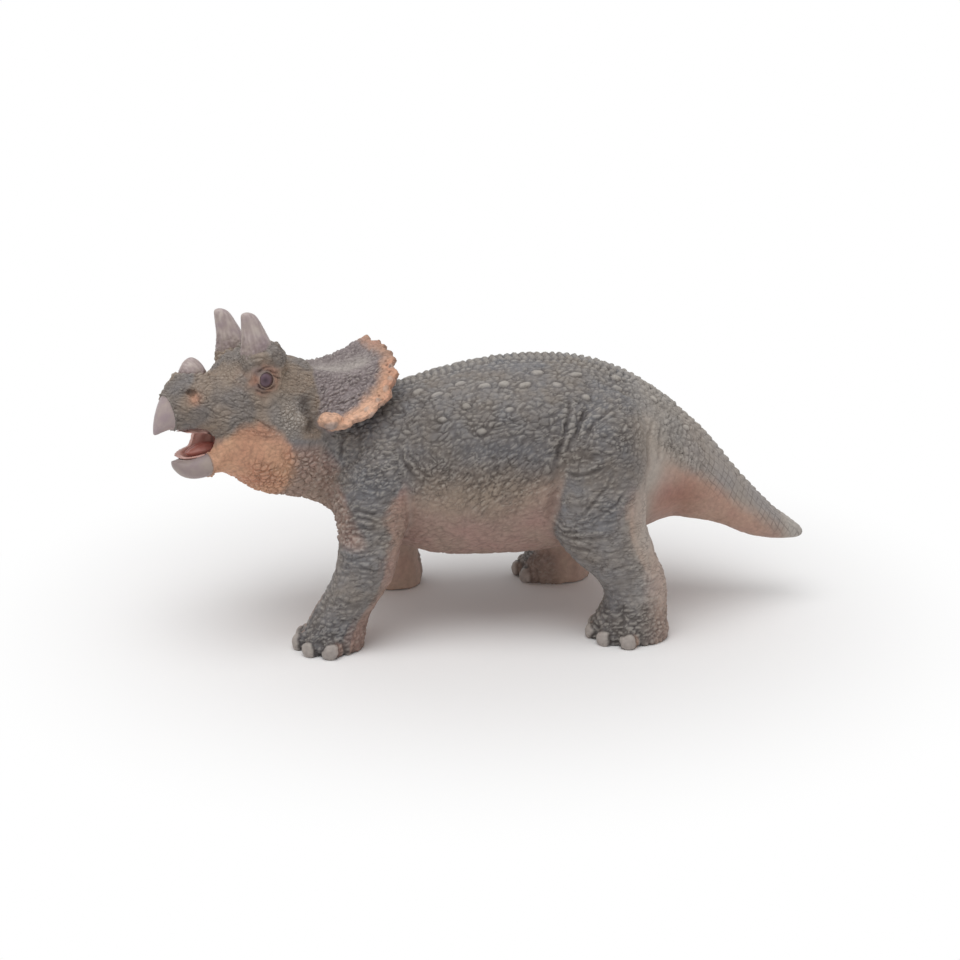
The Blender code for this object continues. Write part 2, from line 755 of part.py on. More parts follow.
def make_eyes_and_nostrils(head):
    for side_name, side in SIDES.items():
        nostril = mirrored(in_head(NOSTRIL_PLACE_SHARES), side)
        hole_axes = (NOSTRIL_RADIUS, NOSTRIL_RADIUS, NOSTRIL_RADIUS)
        eye = mirrored(in_head(EYE_PLACE_SHARES), side)
        socket = EYE_RADIUS + GLUE_GAP
        cut(
            head,
            ellipsoid(f"{side_name} nostril", head_frame, nostril, hole_axes, 12),
            ellipsoid(f"{side_name} eye socket", head_frame, eye, (socket, socket, socket)),
        )
        ball = (EYE_RADIUS, EYE_RADIUS, EYE_RADIUS)
        ellipsoid(f"eye_{side_name}", head_frame, eye, ball, material=eye_gloss)


def make_jaw(head):
    """The chin and throat under the jaw seam, with the lower beak at its tip."""
    reach = HEAD_LENGTH + HEAD_WIDTH
    seam = -GLUE_GAP / 2 - JAW_SEAM_DROP
    upper_side = block("skull side", head_frame, (-reach, -reach, seam), (reach, reach, reach))
    jaw = head_form("lower_jaw", head_rows(CHIN_SHARES), material=jaw_skin)
    lower_beak = head_form("lower_beak", head_rows(CHIN_SHARES), material=horn)
    ahead, behind = seam_blocks(
        "lower beak", CHIN_SHARES[0][0] * HEAD_LENGTH - LOWER_BEAK_LENGTH, -LOWER_BEAK_DEPTH, LOWER_BEAK_LEAN
    )
    pouch = mouth_form("lower mouth hollow", 0)
    cut(jaw, upper_side, ahead, pouch)
    cut(lower_beak, behind, pouch)
    start, end = (-JAW_PEG_BACK, 0, -OVERRUN), (-JAW_PEG_BACK, 0, JAW_PEG_LENGTH)
    plug(jaw, head, "jaw", head_frame, start, end, JAW_PEG_RADIUS)
    return jaw


def make_upper_beak(head):
    beak = head_form("upper_beak", head_rows(SNOUT_SHARES), material=horn)
    ahead, behind = seam_blocks("upper beak", HEAD_LENGTH - UPPER_BEAK_LENGTH, 0, UPPER_BEAK_LEAN)
    pouch = mouth_form("upper mouth hollow", 0)
    cut(head, ahead, pouch)
    cut(beak, behind, pouch)
    middle = HEAD_LENGTH - UPPER_BEAK_LENGTH - BEAK_PEG_HEIGHT * math.tan(UPPER_BEAK_LEAN)
    start = (-middle - BEAK_PEG_ROOT, 0, BEAK_PEG_HEIGHT)
    end = (-middle + BEAK_PEG_LENGTH, 0, BEAK_PEG_HEIGHT)
    plug(beak, head, "upper beak", head_frame, start, end, BEAK_PEG_RADIUS)


def make_mouth():
    """A red cup between the jaws, open in front and at both sides, with the tongue on its floor."""
    lining = mouth_form("mouth_lining", GLUE_GAP, mouth_red)
    hollow = mouth_form("mouth cavity", GLUE_GAP + LINING_WALL)
    front = MOUTH_BACK + LINING_FRONT_SHARE * MOUTH_LENGTH
    reach = HEAD_LENGTH + HEAD_WIDTH
    corner = frame("mouth corner", head_frame, Matrix.Translation((-MOUTH_CORNER, 0, -GAPE_DROP)))
    gape_height = GAPE_DROP - GAPE_TOP_DROP
    level = block("gape", corner, (-reach, -reach, 0), (0, reach, gape_height))
    sloped = block("sloping gape", corner, (-reach, -reach, 0), (0, reach, gape_height), GAPE_SLOPE)
    ahead = block("mouth front", head_frame, (-reach, -reach, -reach), (-front, reach, reach))
    cut(lining, hollow, level, sloped, ahead)
    tongue_axes = (TONGUE_LENGTH / 2, TONGUE_WIDTH / 2, TONGUE_HEIGHT / 2)
    centre = (-TONGUE_BACK - TONGUE_LENGTH / 2, 0, -TONGUE_DROP)
    tongue = ellipsoid("tongue", head_frame, centre, tongue_axes, 16, TONGUE_TILT, tongue_pink)
    trim_to(tongue, mouth_form("tongue bed", GLUE_GAP + LINING_WALL + GLUE_GAP))


def make_horn(name, place, table, height, length, width, sweep, splay):
    """A curved horn that rises from its seat on the head, with a root under the skin."""
    rows = [(-HORN_ROOT, 1.0)] + [(rise * height, girth) for rise, girth in table]
    rings = []
    for rise, girth in smoothed(rows, 2):
        bend = (max(rise, 0) / height) ** HORN_CURVE
        centre = place + Vector((-sweep * bend, splay * bend, rise))
        rings.append(level_ring(centre, girth * length / 2, girth * width / 2, 2, HORN_FACETS))
    return mesh_object(name, lofted(rings), head_frame, horn)


def seat_horn(name, head, item, place, peg_shift, height, length, width):
    """Opens the head for a horn's root and its peg."""
    up = Vector((0, 0, 1))
    root = level_ring(place, length / 2 + GLUE_GAP, width / 2 + GLUE_GAP, 2, HORN_FACETS)
    bed = [point - up * (HORN_ROOT + GLUE_GAP) for point in root]
    above = [point + up * height for point in root]
    cut(head, mesh_object(f"{name} seat", lofted([bed, above]), head_frame))
    start = place + peg_shift
    end = start - up * (HORN_ROOT + HORN_PEG_LENGTH)
    plug(item, head, name, head_frame, start, end, HORN_PEG_RADIUS)


def make_horns(head):
    for side_name, side in SIDES.items():
        name = f"brow_horn_{side_name}"
        place = mirrored(in_head(BROW_HORN_PLACE_SHARES), side)
        sizes = (BROW_HORN_HEIGHT, BROW_HORN_LENGTH, BROW_HORN_WIDTH)
        brow_horn = make_horn(name, place, HORN_SHARES, *sizes, BROW_HORN_SWEEP, side * BROW_HORN_SPLAY)
        peg_shift = Vector((-HORN_PEG_FORWARD, -side * HORN_PEG_INWARD, 0))
        seat_horn(name, head, brow_horn, place, peg_shift, *sizes)
    place = in_head(NOSE_HORN_PLACE_SHARES)
    sizes = (NOSE_HORN_HEIGHT, NOSE_HORN_LENGTH, NOSE_HORN_WIDTH)
    nose_horn = make_horn("nose_horn", place, NOSE_HORN_SHARES, *sizes, NOSE_HORN_SWEEP, 0)
    seat_horn("nose_horn", head, nose_horn, place, Vector((0, 0, 0)), *sizes)


def frill_rows():
    """Root and rim points across the frill, from its left corner over the top to its right corner."""
    half = smoothed(FRILL_SHARES, FRILL_SCALLOPS * SCALLOP_COLUMNS // (2 * (len(FRILL_SHARES) - 1)))
    both = [(row, -1) for row in half[:0:-1]] + [(row, 1) for row in half]
    columns = []
    for (long, wide, rise, root_wide, root_rise), side in both:
        root = Vector((-FRILL_SEAT, side * root_wide * HEAD_WIDTH / 2, root_rise * SKULL_HEIGHT))
        rim = Vector((long * FRILL_LENGTH, side * wide * FRILL_WIDTH / 2, FRILL_LOWEST + rise * FRILL_HEIGHT))
        columns.append((root, rim))
    return columns


def frill_section(number, root, rim):
    """One ring of the frill, out along its face and back along its underside, with a rounded rim."""
    middle = Vector((0, 0, FRILL_LOWEST))
    way = (rim - root).normalized()
    away = rim - middle
    away.x = 0
    away.normalize()
    outward = (away - way * away.dot(way)).normalized()
    scallop = abs(math.sin(math.pi * number / SCALLOP_COLUMNS)) - 0.5
    face, underside = [], []
    for row in range(FRILL_ROWS + 1):
        t = row / FRILL_ROWS
        point = root.lerp(rim, t) - outward * FRILL_SAG * math.sin(math.pi * t)
        root_part, rim_part = (1 - t) ** 2, t**2
        thickness = root_part * FRILL_ROOT_THICKNESS + rim_part * FRILL_RIM_THICKNESS
        thickness += (1 - root_part - rim_part) * FRILL_THICKNESS
        stretch = way * FRILL_SCALLOP * scallop * rim_part
        face.append(point + stretch)
        underside.append(point + stretch - outward * thickness)
    edge = (face[-1] + underside[-1]) / 2 + way * FRILL_RIM_THICKNESS / 3
    return face + [edge] + underside[::-1]


def make_frill(head):
    rings = [frill_section(number, root, rim) for number, (root, rim) in enumerate(frill_rows())]
    frill = mesh_object("frill", lofted(rings), head_frame, rim_skin)
    cut(
        frill,
        head_form("skull form for the frill", head_rows(()), GLUE_GAP),
        mesh_object("neck form for the frill", lofted(body_rings(GLUE_GAP)), figure),
    )
    start = (GLUE_GAP + FRILL_PEG_ROOT, 0, FRILL_PEG_HEIGHT)
    plug(frill, head, "frill", head_frame, start, (-FRILL_PEG_LENGTH, 0, FRILL_PEG_HEIGHT), FRILL_PEG_RADIUS)


clear_scene()
figure_parts = new_collection("toy dinosaur")
cutters = new_collection("cutters")
skin = painted("painted vinyl skin", SKIN_COLOUR, SKIN_ROUGHNESS)
jaw_skin = painted("painted vinyl jaw skin", JAW_COLOUR, SKIN_ROUGHNESS)
rim_skin = painted("painted vinyl frill skin", RIM_COLOUR, SKIN_ROUGHNESS)
horn = painted("painted vinyl horn", HORN_COLOUR, HORN_ROUGHNESS)
mouth_red = painted("painted vinyl mouth", MOUTH_COLOUR, WET_ROUGHNESS)
tongue_pink = painted("painted vinyl tongue", TONGUE_COLOUR, WET_ROUGHNESS)
eye_gloss = painted("gloss painted eye", EYE_COLOUR, EYE_ROUGHNESS)
figure = frame("figure", None, Matrix.Identity(4))
head_frame = frame("head frame", figure, head_matrix())
torso = make_trunk()
make_tail(torso)
make_legs(torso)
head = make_skull()
make_upper_beak(head)
make_jaw(head)
make_mouth()
make_horns(head)
make_eyes_and_nostrils(head)
make_frill(head)
neck_start = (-OVERRUN, 0, HEAD_PEG_HEIGHT + HEAD_PEG_DROP * OVERRUN / HEAD_PEG_LENGTH)
neck_end = (HEAD_PEG_LENGTH, 0, HEAD_PEG_HEIGHT - HEAD_PEG_DROP)
plug(head, torso, "head", head_frame, neck_start, neck_end, HEAD_PEG_RADIUS)
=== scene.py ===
import math

import bmesh
import bpy
import numpy as np
from mathutils import Matrix, Vector, noise
from mathutils.bvhtree import BVHTree


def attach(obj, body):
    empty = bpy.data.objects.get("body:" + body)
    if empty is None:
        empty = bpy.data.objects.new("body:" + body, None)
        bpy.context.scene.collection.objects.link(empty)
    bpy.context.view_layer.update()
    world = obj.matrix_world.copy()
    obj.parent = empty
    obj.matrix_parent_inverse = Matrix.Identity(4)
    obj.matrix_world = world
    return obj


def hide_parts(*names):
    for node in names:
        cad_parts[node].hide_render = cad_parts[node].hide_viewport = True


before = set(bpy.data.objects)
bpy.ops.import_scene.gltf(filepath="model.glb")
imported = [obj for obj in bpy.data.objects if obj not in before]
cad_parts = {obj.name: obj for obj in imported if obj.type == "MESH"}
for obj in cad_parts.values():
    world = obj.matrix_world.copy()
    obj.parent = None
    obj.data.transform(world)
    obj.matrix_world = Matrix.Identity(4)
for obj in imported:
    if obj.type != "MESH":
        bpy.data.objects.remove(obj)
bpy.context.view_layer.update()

# The sculpted master
# The toy starts as one sculpt, from which every soft vinyl casting is moulded. The castings' plain forms are
# fused here into one skin, fine enough to carry scales and folds. Horn seats and eye sockets are filled first.
MM = 0.001
GRAIN = 0.29
CLOSING = 0.22
HEAD_PLACE = Vector((-33.85, -4.25, 36.9))
HEAD_TURN = Matrix.Rotation(math.radians(25), 3, "Z")
HEAD_TURN = HEAD_TURN @ Matrix.Rotation(math.radians(8), 3, "Y") @ Matrix.Rotation(math.radians(-8), 3, "X")
CASTINGS = ("torso", "tail", "front_leg_left", "front_leg_right", "hind_leg_left", "hind_leg_right", "head", "frill",
            "lower_jaw", "upper_beak", "lower_beak")
SEAT_FILLS = (
    ((-10.5, 4.95, 12.6), (4.4, 3.1, 3.8)),
    ((-10.5, -4.95, 12.6), (4.4, 3.1, 3.8)),
    ((-21.6, 0.0, 8.7), (3.2, 2.6, 2.1)),
    ((-11.12, 6.32, 9.69), (2.3, 2.3, 2.3)),
    ((-11.12, -6.32, 9.69), (2.3, 2.3, 2.3)),
    ((-0.2, 11.0, 2.9), (2.3, 2.3, 1.2)),
    ((-0.2, -11.0, 2.9), (2.3, 2.3, 1.2)),
)


def only(item):
    """Selects one object and nothing else, as its operators need."""
    bpy.ops.object.select_all(action="DESELECT")
    item.select_set(True)
    bpy.context.view_layer.objects.active = item


def edit(item):
    only(item)
    bpy.ops.object.mode_set(mode="EDIT")
    bpy.ops.mesh.select_all(action="SELECT")


def leave_edit():
    bpy.ops.object.mode_set(mode="OBJECT")


def welded(node):
    """A copy of a casting's plain form, its loose triangles joined up."""
    item = bpy.data.objects.new(f"{node} form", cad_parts[node].data.copy())
    bpy.context.scene.collection.objects.link(item)
    item.data.materials.clear()
    edit(item)
    bpy.ops.mesh.customdata_custom_splitnormals_clear()
    bpy.ops.mesh.remove_doubles(threshold=0.000001)
    leave_edit()
    return item


def apply(item, kind, **settings):
    """Adds a modifier and applies it at once."""
    only(item)
    modifier = item.modifiers.new(kind.lower(), kind)
    for name, value in settings.items():
        setattr(modifier, name, value)
    bpy.ops.object.modifier_apply(modifier=modifier.name)


def joined(items, name):
    only(items[0])
    for item in items:
        item.select_set(True)
    bpy.ops.object.join()
    items[0].name = name
    return items[0]


def points_of(item):
    """The vertices' places in millimetres."""
    found = np.empty(len(item.data.vertices) * 3)
    item.data.vertices.foreach_get("co", found)
    return found.reshape(-1, 3) / MM


def put_points(item, places):
    item.data.vertices.foreach_set("co", (places * MM).ravel())
    item.data.update()


def normals_of(item):
    found = np.empty(len(item.data.vertices) * 3, np.float32)
    item.data.vertex_normals.foreach_get("vector", found)
    return found.reshape(-1, 3).astype(float)


def to_head(places):
    """Places in the head's own frame: X back from the beak, Y to the right, Z up from the lips."""
    return (places - np.array(HEAD_PLACE)) @ np.array(HEAD_TURN)


def from_head(place):
    return HEAD_PLACE + HEAD_TURN @ Vector(place)


def head_ellipsoid(place, half_sizes):
    bpy.ops.object.select_all(action="DESELECT")
    bpy.ops.mesh.primitive_uv_sphere_add(segments=32, ring_count=16, radius=MM, location=from_head(place) * MM)
    item = bpy.context.object
    item.rotation_euler = HEAD_TURN.to_euler()
    item.scale = half_sizes
    bpy.ops.object.transform_apply()
    return item


forms = [welded(node) for node in CASTINGS]
corners, faces, owners = [], [], []
for number, form in enumerate(forms):
    faces += [tuple(index + len(corners) for index in face.vertices) for face in form.data.polygons]
    owners += [number] * len(form.data.polygons)
    corners += [vertex.co / MM for vertex in form.data.vertices]
plain_skin = BVHTree.FromPolygons(corners, faces)
fills = [head_ellipsoid(*fill) for fill in SEAT_FILLS]
for form in forms + fills:
    apply(form, "DISPLACE", strength=CLOSING * MM, mid_level=0.0)
master = joined(forms + fills, "master")
apply(master, "REMESH", mode="VOXEL", voxel_size=GRAIN * MM)


def keep_outer_shell(item):
    """Deletes the closed bubbles that pegs and sockets leave inside."""
    shape = bmesh.new()
    shape.from_mesh(item.data)
    left, shells = set(shape.verts), []
    while left:
        front = [left.pop()]
        shell = list(front)
        while front:
            near = {edge.other_vert(vertex) for vertex in front for edge in vertex.link_edges} & left
            left -= near
            front = list(near)
            shell += front
        shells.append(shell)
    shells.sort(key=len)
    bmesh.ops.delete(shape, geom=[vertex for shell in shells[:-1] for vertex in shell], context="VERTS")
    shape.to_mesh(item.data)
    shape.free()


class Skin:
    """The master's vertices and edges as arrays."""

    def __init__(self, item):
        self.places = points_of(item)
        self.count = len(self.places)
        ends = np.empty(len(item.data.edges) * 2, int)
        item.data.edges.foreach_get("vertices", ends)
        self.ends = ends.reshape(-1, 2)
        self.valence = np.bincount(ends, minlength=self.count).astype(float)

    def spread(self, values):
        """Each vertex's mean over its neighbours."""
        columns = values.reshape(self.count, -1)
        total = np.empty_like(columns)
        first, second = self.ends.T
        for index in range(columns.shape[1]):
            column = columns[:, index]
            total[:, index] = np.bincount(first, column[second], self.count)
            total[:, index] += np.bincount(second, column[first], self.count)
        return (total / self.valence[:, None]).reshape(values.shape)

    def soft(self, mask, turns):
        """A mask with its edge blurred over some steps of the mesh."""
        mask = mask.astype(float)
        for _ in range(turns):
            mask = self.spread(mask)
        return mask

    def relax(self, turns, share=None):
        """Smooths the facets out without shrinking the form."""
        share = 1.0 if share is None else share[:, None]
        for _ in range(turns):
            for pull in (0.62, -0.64):
                self.places = self.places + (self.spread(self.places) - self.places) * pull * share


def owners_of(places):
    """For each place, the casting whose plain form is nearest."""
    nearest = np.array([owners[plain_skin.find_nearest(place)[2]] for place in places.tolist()])
    return {name: nearest == number for number, name in enumerate(CASTINGS)}


def step(low, high, value):
    """A smooth rise from 0 to 1 between low and high."""
    t = np.clip((value - low) / (high - low), 0, 1)
    return t * t * (3 - 2 * t)


HEAD_CASTINGS = ("head", "frill", "lower_jaw", "upper_beak", "lower_beak")
LEG_CASTINGS = ("front_leg_left", "front_leg_right", "hind_leg_left", "hind_leg_right")
keep_outer_shell(master)
skin = Skin(master)
on = owners_of(skin.places)
on_head = np.any([on[name] for name in HEAD_CASTINGS], axis=0)
feet = np.any([on[name] for name in LEG_CASTINGS], axis=0) & (skin.places[:, 2] < 5)
skin.relax(5)
skin.relax(22, 1 - skin.soft(on_head | feet, 4))
put_points(master, skin.places)

# The head carries finer work than the body, so its mesh is cut in half again
sizes = np.empty(len(master.data.polygons), int)
master.data.polygons.foreach_get("loop_total", sizes)
corner_vertices = np.empty(sizes.sum(), int)
master.data.loops.foreach_get("vertex_index", corner_vertices)
whole = np.add.reduceat(on_head[corner_vertices].astype(int), np.concatenate(([0], sizes.cumsum()[:-1]))) == sizes
edit(master)
bpy.ops.mesh.select_all(action="DESELECT")
leave_edit()
master.data.polygons.foreach_set("select", whole)
bpy.ops.object.mode_set(mode="EDIT")
bpy.ops.mesh.select_mode(type="FACE")
bpy.ops.mesh.subdivide(number_cuts=1)
bpy.ops.mesh.select_mode(type="VERT")
leave_edit()
skin = Skin(master)
on = owners_of(skin.places)
on_head = np.any([on[name] for name in HEAD_CASTINGS], axis=0)
on_legs = np.any([on[name] for name in LEG_CASTINGS], axis=0)
skin.relax(4, skin.soft(on_head, 3))
put_points(master, skin.places)
N = normals_of(master)
P = skin.places - N * CLOSING
H = to_head(P)
NH = N @ np.array(HEAD_TURN)
sided = np.stack((H[:, 0], np.abs(H[:, 1]), H[:, 2]), axis=1)
in_leg = skin.soft(on_legs, 6)
in_tail = skin.soft(on["tail"], 8)
in_head = skin.soft(on_head, 6)
in_frill = skin.soft(on["frill"], 8)
in_jaw = skin.soft(on["lower_jaw"], 8)
in_beak = skin.soft(on["upper_beak"] | on["lower_beak"], 2)
beak_edge = skin.soft(on["upper_beak"] | on["lower_beak"], 7)

# The skin's scales
# Scales are cells with creases between them, at their real size in millimetres. Every casting shares this
# skin, so its patterns lie over the whole master and fade into each other from part to part.
def ripple(places, size):
    return np.array([noise.noise(place) for place in (places / size).tolist()])


def ripples(places, size):
    return np.array([noise.noise_vector(place) for place in (places / size).tolist()])


def scales(places, sizes, share, crease=0.2, dome=0.2):
    """A field of scales where the share is above 0: its height, 0 in creases and 1 on top, and its creases."""
    height, groove = np.zeros(len(places)), np.zeros(len(places))
    used = share > 0.01
    near = np.array([noise.voronoi(place)[0][:2] for place in (places[used] / np.array(sizes)).tolist()])
    flat = step(0.0, crease, near[:, 1] - near[:, 0])
    height[used] = flat * (1 - dome) + dome * np.clip(1 - near[:, 0] * 1.3, 0, 1) - 0.6
    groove[used] = (1 - flat) * np.clip(0.75 + 0.9 * uneven[used], 0.25, 1)
    return height * share, groove * share


def wrinkles(places, sizes, share, width=0.1):
    """Long creases that wander along the places' first axis and fade in and out."""
    height, groove = np.zeros(len(places)), np.zeros(len(places))
    used = share > 0.01
    value = np.array([noise.noise(place) for place in (places[used] / np.array(sizes)).tolist()])
    broken = np.array([noise.noise(place) for place in (places[used] / np.array(sizes) * 0.45 + 7.3).tolist()])
    broken = step(-0.35, 0.15, broken)
    height[used] = (np.clip(np.abs(value) / 0.3, 0, 1) ** 0.6 - 0.62) * (0.35 + 0.65 * broken)
    groove[used] = np.exp(-((value / width) ** 2)) * broken
    return height * share, groove * share


def to_line(places, line):
    """Each place's distance from a line of points, and how far along the line its nearest point is."""
    nearest, run, passed = np.full(len(places), 1e9), np.zeros(len(places)), 0.0
    line = np.array(line, float)
    for start, end in zip(line, line[1:]):
        way = end - start
        along = np.clip((places - start) @ way / (way @ way), 0, 1)
        away = np.linalg.norm(places - start - along[:, None] * way, axis=1)
        run = np.where(away < nearest, passed + along * np.linalg.norm(way), run)
        nearest = np.minimum(nearest, away)
        passed += np.linalg.norm(way)
    return nearest, run / passed


def slanted(places, degrees):
    """Places turned in the side view, so that a pattern's long way rises towards the tail."""
    turn = math.radians(degrees)
    x, y, z = places.T
    return np.stack((x * math.cos(turn) + z * math.sin(turn), y, z * math.cos(turn) - x * math.sin(turn)), axis=1)


coarse, medium = ripples(P, 5.0), ripples(P, 1.7)
bent = P + coarse * 1.0 + medium * 0.3
bent_head = H + coarse * 0.7 + medium * 0.25
patch = ripple(P, 7.0)
speckle = ripple(P, 1.1)
uneven = coarse[:, 1] + medium[:, 1]
low_belly = np.interp(
    P[:, 0], (-20, -13.6, -8.9, -4, 0.7, 3.9, 7, 12, 30), (28, 26.4, 25.4, 25.0, 25.2, 26.6, 29, 30, 30)
)
on_body = 1 - in_head
TAIL_LINE = ((28.8, 33.4), (31.8, 31.4), (35.9, 28.4), (41.9, 23.8), (48.2, 19.0), (54.5, 14.2), (60.0, 11.0))
tail_x, tail_z = np.array(TAIL_LINE).T
over_line = P[:, 2] - np.interp(P[:, 0], tail_x, tail_z)
upper = step(33.5, 38.5, P[:, 2] + 2.0 * patch) * (1 - in_leg * 0.3)
under = step(4.4, -4.2, P[:, 2] - low_belly + 2.0 * patch + 0.8 * speckle) * (1 - in_leg) * on_body
under *= step(29, 25, P[:, 0])
foot = step(8.5, 5.5, P[:, 2] + 1.5 * speckle) * in_leg
hip = step(27.0, 33.0, P[:, 2] + 1.5 * patch) * in_leg * step(5, 9, P[:, 0])
body = on_body * (1 - in_tail)
fore_rear = np.interp(
    P[:, 2], (3.2, 7.2, 13.3, 17.2, 20.6, 23.3, 25.8, 29.3), (-24.7, -22.8, -20.1, -19.7, -19.4, -20.2, -19.8, -17.0)
)
hind_rear = np.interp(
    P[:, 2], (2, 10, 13.7, 17.1, 21.1, 24.9, 28.7, 32.1, 38.3), (29.5, 28.0, 27.1, 26.8, 25.3, 24.4, 23.6, 24.0, 25.7)
)
near_left = P[:, 1] < 0
leg_back = step(0.25, 0.75, N[:, 0] + 0.25 * patch)
torn = 1.3 * patch + 1.0 * coarse[:, 0] + 0.8 * speckle
fore_back = step(-1.0, 1.4, P[:, 0] - fore_rear + torn) * near_left * (P[:, 0] < 0)
hind_back = step(-2.6, 2.0, P[:, 0] - hind_rear + torn) * near_left
leg_back = np.maximum.reduce((leg_back, fore_back, hind_back)) * in_leg * np.where(P[:, 0] < 0, step(31.5, 28.0, P[:, 2]), step(31, 22, P[:, 2]))
tail_under = step(2.4, -1.6, over_line + 0.6 * patch + 0.5 * speckle) * step(25, 28, P[:, 0]) * on_body * (1 - in_leg * 0.5)
buttock = np.exp(-((to_line(P[:, [0, 2]] + coarse[:, [0, 2]], ((27.2, 36.5), (28.6, 32.9), (28.4, 29.5), (26.0, 25.5), (26.0, 20.0)))[0] / 2.9) ** 2))
buttock *= on_body * (np.abs(P[:, 1]) > 5)
flank = (1 - upper) * (1 - np.maximum(under, tail_under)) * body * (1 - in_leg)
fore = step(-4, -9, P[:, 0])
flank_scales = flank + 0.5 * under * body * (1 - in_leg) * step(-7, -1, P[:, 2] - low_belly) * (1 - tail_under)
limb = in_leg * (1 - foot) * (1 - hip)
near_cheek = np.exp(-((np.linalg.norm(sided - np.array((-6.0, 8.0, 2.8)), axis=1) / 3.6) ** 2)) * in_head
face = in_head * (1 - in_frill) * (1 - in_beak)
inner = -np.sign(P[:, 1]) * N[:, 1]
leg_inner = step(0.05, 0.6, inner + 0.2 * patch) * in_leg
leg_inner *= 1 - 0.6 * step(17, 13, P[:, 0]) * step(8, 5, P[:, 2]) * (P[:, 0] > 5)
foot *= 1 - leg_inner
croup = step(23, 28, P[:, 0]) * step(44, 36, P[:, 0]) * on_body * (1 - 0.85 * np.maximum(tail_under, buttock))
chest_line = np.interp(P[:, 0], (-34, -30, -27, -25), (39.0, 35.3, 31.0, 20.0))
chest = step(2.4, -2.8, P[:, 2] - chest_line + 1.2 * patch) * step(-23, -27, P[:, 0]) * on_body * (1 - in_leg)
leg_front = in_leg * step(-23.6, -26.2, P[:, 0] + 0.3 * (P[:, 2] - 22) + 1.2 * patch + 0.6 * coarse[:, 0])
leg_front *= step(18, 21, P[:, 2]) * step(31, 28, P[:, 2])
chest = np.maximum(chest, leg_front)
throat = in_head * (1 - in_frill) * step(-0.5, -4.0, H[:, 2] + 0.6 * patch) * step(-9, -5, H[:, 0])
under_jaw = face * step(-3.5, -6.0, H[:, 2] + 0.35 * H[:, 0] + 3.5) * step(-15, -10, H[:, 0])
SCALE_FIELDS = (
    # places, cell sizes, share, height in mm, dark wash and painted shade, crease width
    (slanted(bent, 16), (1.7, 1.15, 0.95), upper * body * (1 - 0.5 * croup), 0.34, 0.75, 0.18),
    (slanted(bent, 42), (2.3, 1.2, 0.8), flank_scales * (1 - 0.8 * fore), 0.3, 0.75, 0.17),
    (slanted(bent, -38), (2.8, 1.7, 1.3), flank_scales * (1 - 0.5 * fore) * 0.7, 0.24, 0.6, 0.12),
    (slanted(bent, -24), (1.5, 1.1, 0.8), (flank + in_leg * step(27, 31, P[:, 2])) * fore, 0.32, 0.68, 0.18),
    (slanted(bent, 8), (1.6, 1.3, 0.85), hip, 0.27, 0.65, 0.17),
    (slanted(bent, 6), (3.0, 2.2, 0.75), limb * (1 - 0.7 * leg_inner), 0.21, 0.5, 0.18),
    (slanted(bent, 48), (3.0, 2.4, 1.4), limb * 0.6 * (1 - leg_inner), 0.22, 0.4, 0.14),
    (slanted(bent, 5), (1.5, 1.2, 0.65), foot, 0.36, 0.9, 0.28),
    (slanted(bent, 72), (2.2, 1.2, 0.9), croup, 0.28, 0.45, 0.17),
    (slanted(bent, 20), (2.4, 1.5, 1.0), under * body * (1 - tail_under), 0.2, 0.4, 0.2),
    (slanted(bent, 30), (1.3, 1.1, 0.9), np.maximum.reduce((chest, throat, under_jaw)), 0.55, 0.36, 0.3),
    (bent_head, (0.85, 0.8, 0.62), face * near_cheek, 0.36, 0.5, 0.3),
    (slanted(bent_head, -10), (1.1, 0.7, 0.5), face * (1 - near_cheek) * (1 - in_jaw) * 0.7, 0.2, 0.4, 0.26),
    (slanted(bent_head, 28), (1.0, 0.68, 0.6), in_frill, 0.24, 0.5, 0.28),
)
WRINKLE_FIELDS = (
    # places, sizes along and across, share, height in mm, dark wash and painted shade, crease width
    (slanted(bent, 40), (4.2, 1.5, 1.1), flank_scales * 0.7, 0.26, 0.6, 0.1),
    (slanted(bent, 62), (2.2, 1.4, 1.0), tail_under * 0.6, 0.1, 0.3, 0.08),
    (slanted(bent, 14), (2.8, 1.3, 0.9), upper * body * 0.7, 0.26, 0.65, 0.1),
    (slanted(bent, 5), (5.0, 3.0, 0.7), limb * (1 - leg_inner), 0.3, 0.6, 0.1),
    (slanted(bent, 4), (3.0, 2.4, 0.7), foot, 0.3, 0.8, 0.12),
    (slanted(bent, 8), (3.0, 2.0, 1.0), hip * 0.7, 0.28, 0.6, 0.1),
    (slanted(bent, 74), (3.4, 1.6, 1.1), croup * 0.8, 0.26, 0.55, 0.1),
    (slanted(bent_head, -12), (2.2, 0.9, 0.7), face * (1 - in_jaw) * (1 - near_cheek), 0.24, 0.5, 0.1),
    (slanted(bent_head, 38), (1.8, 0.9, 0.8), face * 0.4 * (1 - in_jaw), 0.18, 0.4, 0.1),
    (slanted(bent_head, 25), (1.9, 1.1, 0.9), face * in_jaw, 0.1, 0.2, 0.08),
    (slanted(bent_head, 30), (1.9, 0.8, 0.75), in_frill, 0.36, 0.6, 0.1),
)
# Darkening in the creases, folds, pits and hollows: partly a dark paint wash, partly painted shade where light does not
# reach into them.
relief, wash_and_shade = np.zeros(skin.count), np.zeros(skin.count)
for pattern, listed in ((scales, SCALE_FIELDS), (wrinkles, WRINKLE_FIELDS)):
    for places, sizes, share, height, darkness, crease in listed:
        raised, groove = pattern(places, sizes, share, crease)
        relief += raised * height
        wash_and_shade = np.maximum(wash_and_shade, groove * darkness)
smooth_skin = np.clip(0.35 * leg_back + 0.5 * buttock, 0, 1)
relief *= 1 - smooth_skin
wash_and_shade *= 1 - smooth_skin
relief += (ripple(P, 6.0) * 0.3 + ripple(P, 2.4) * 0.16) * on_body + ripple(P, 2.0) * 0.12 * in_head
pale = np.zeros(skin.count)

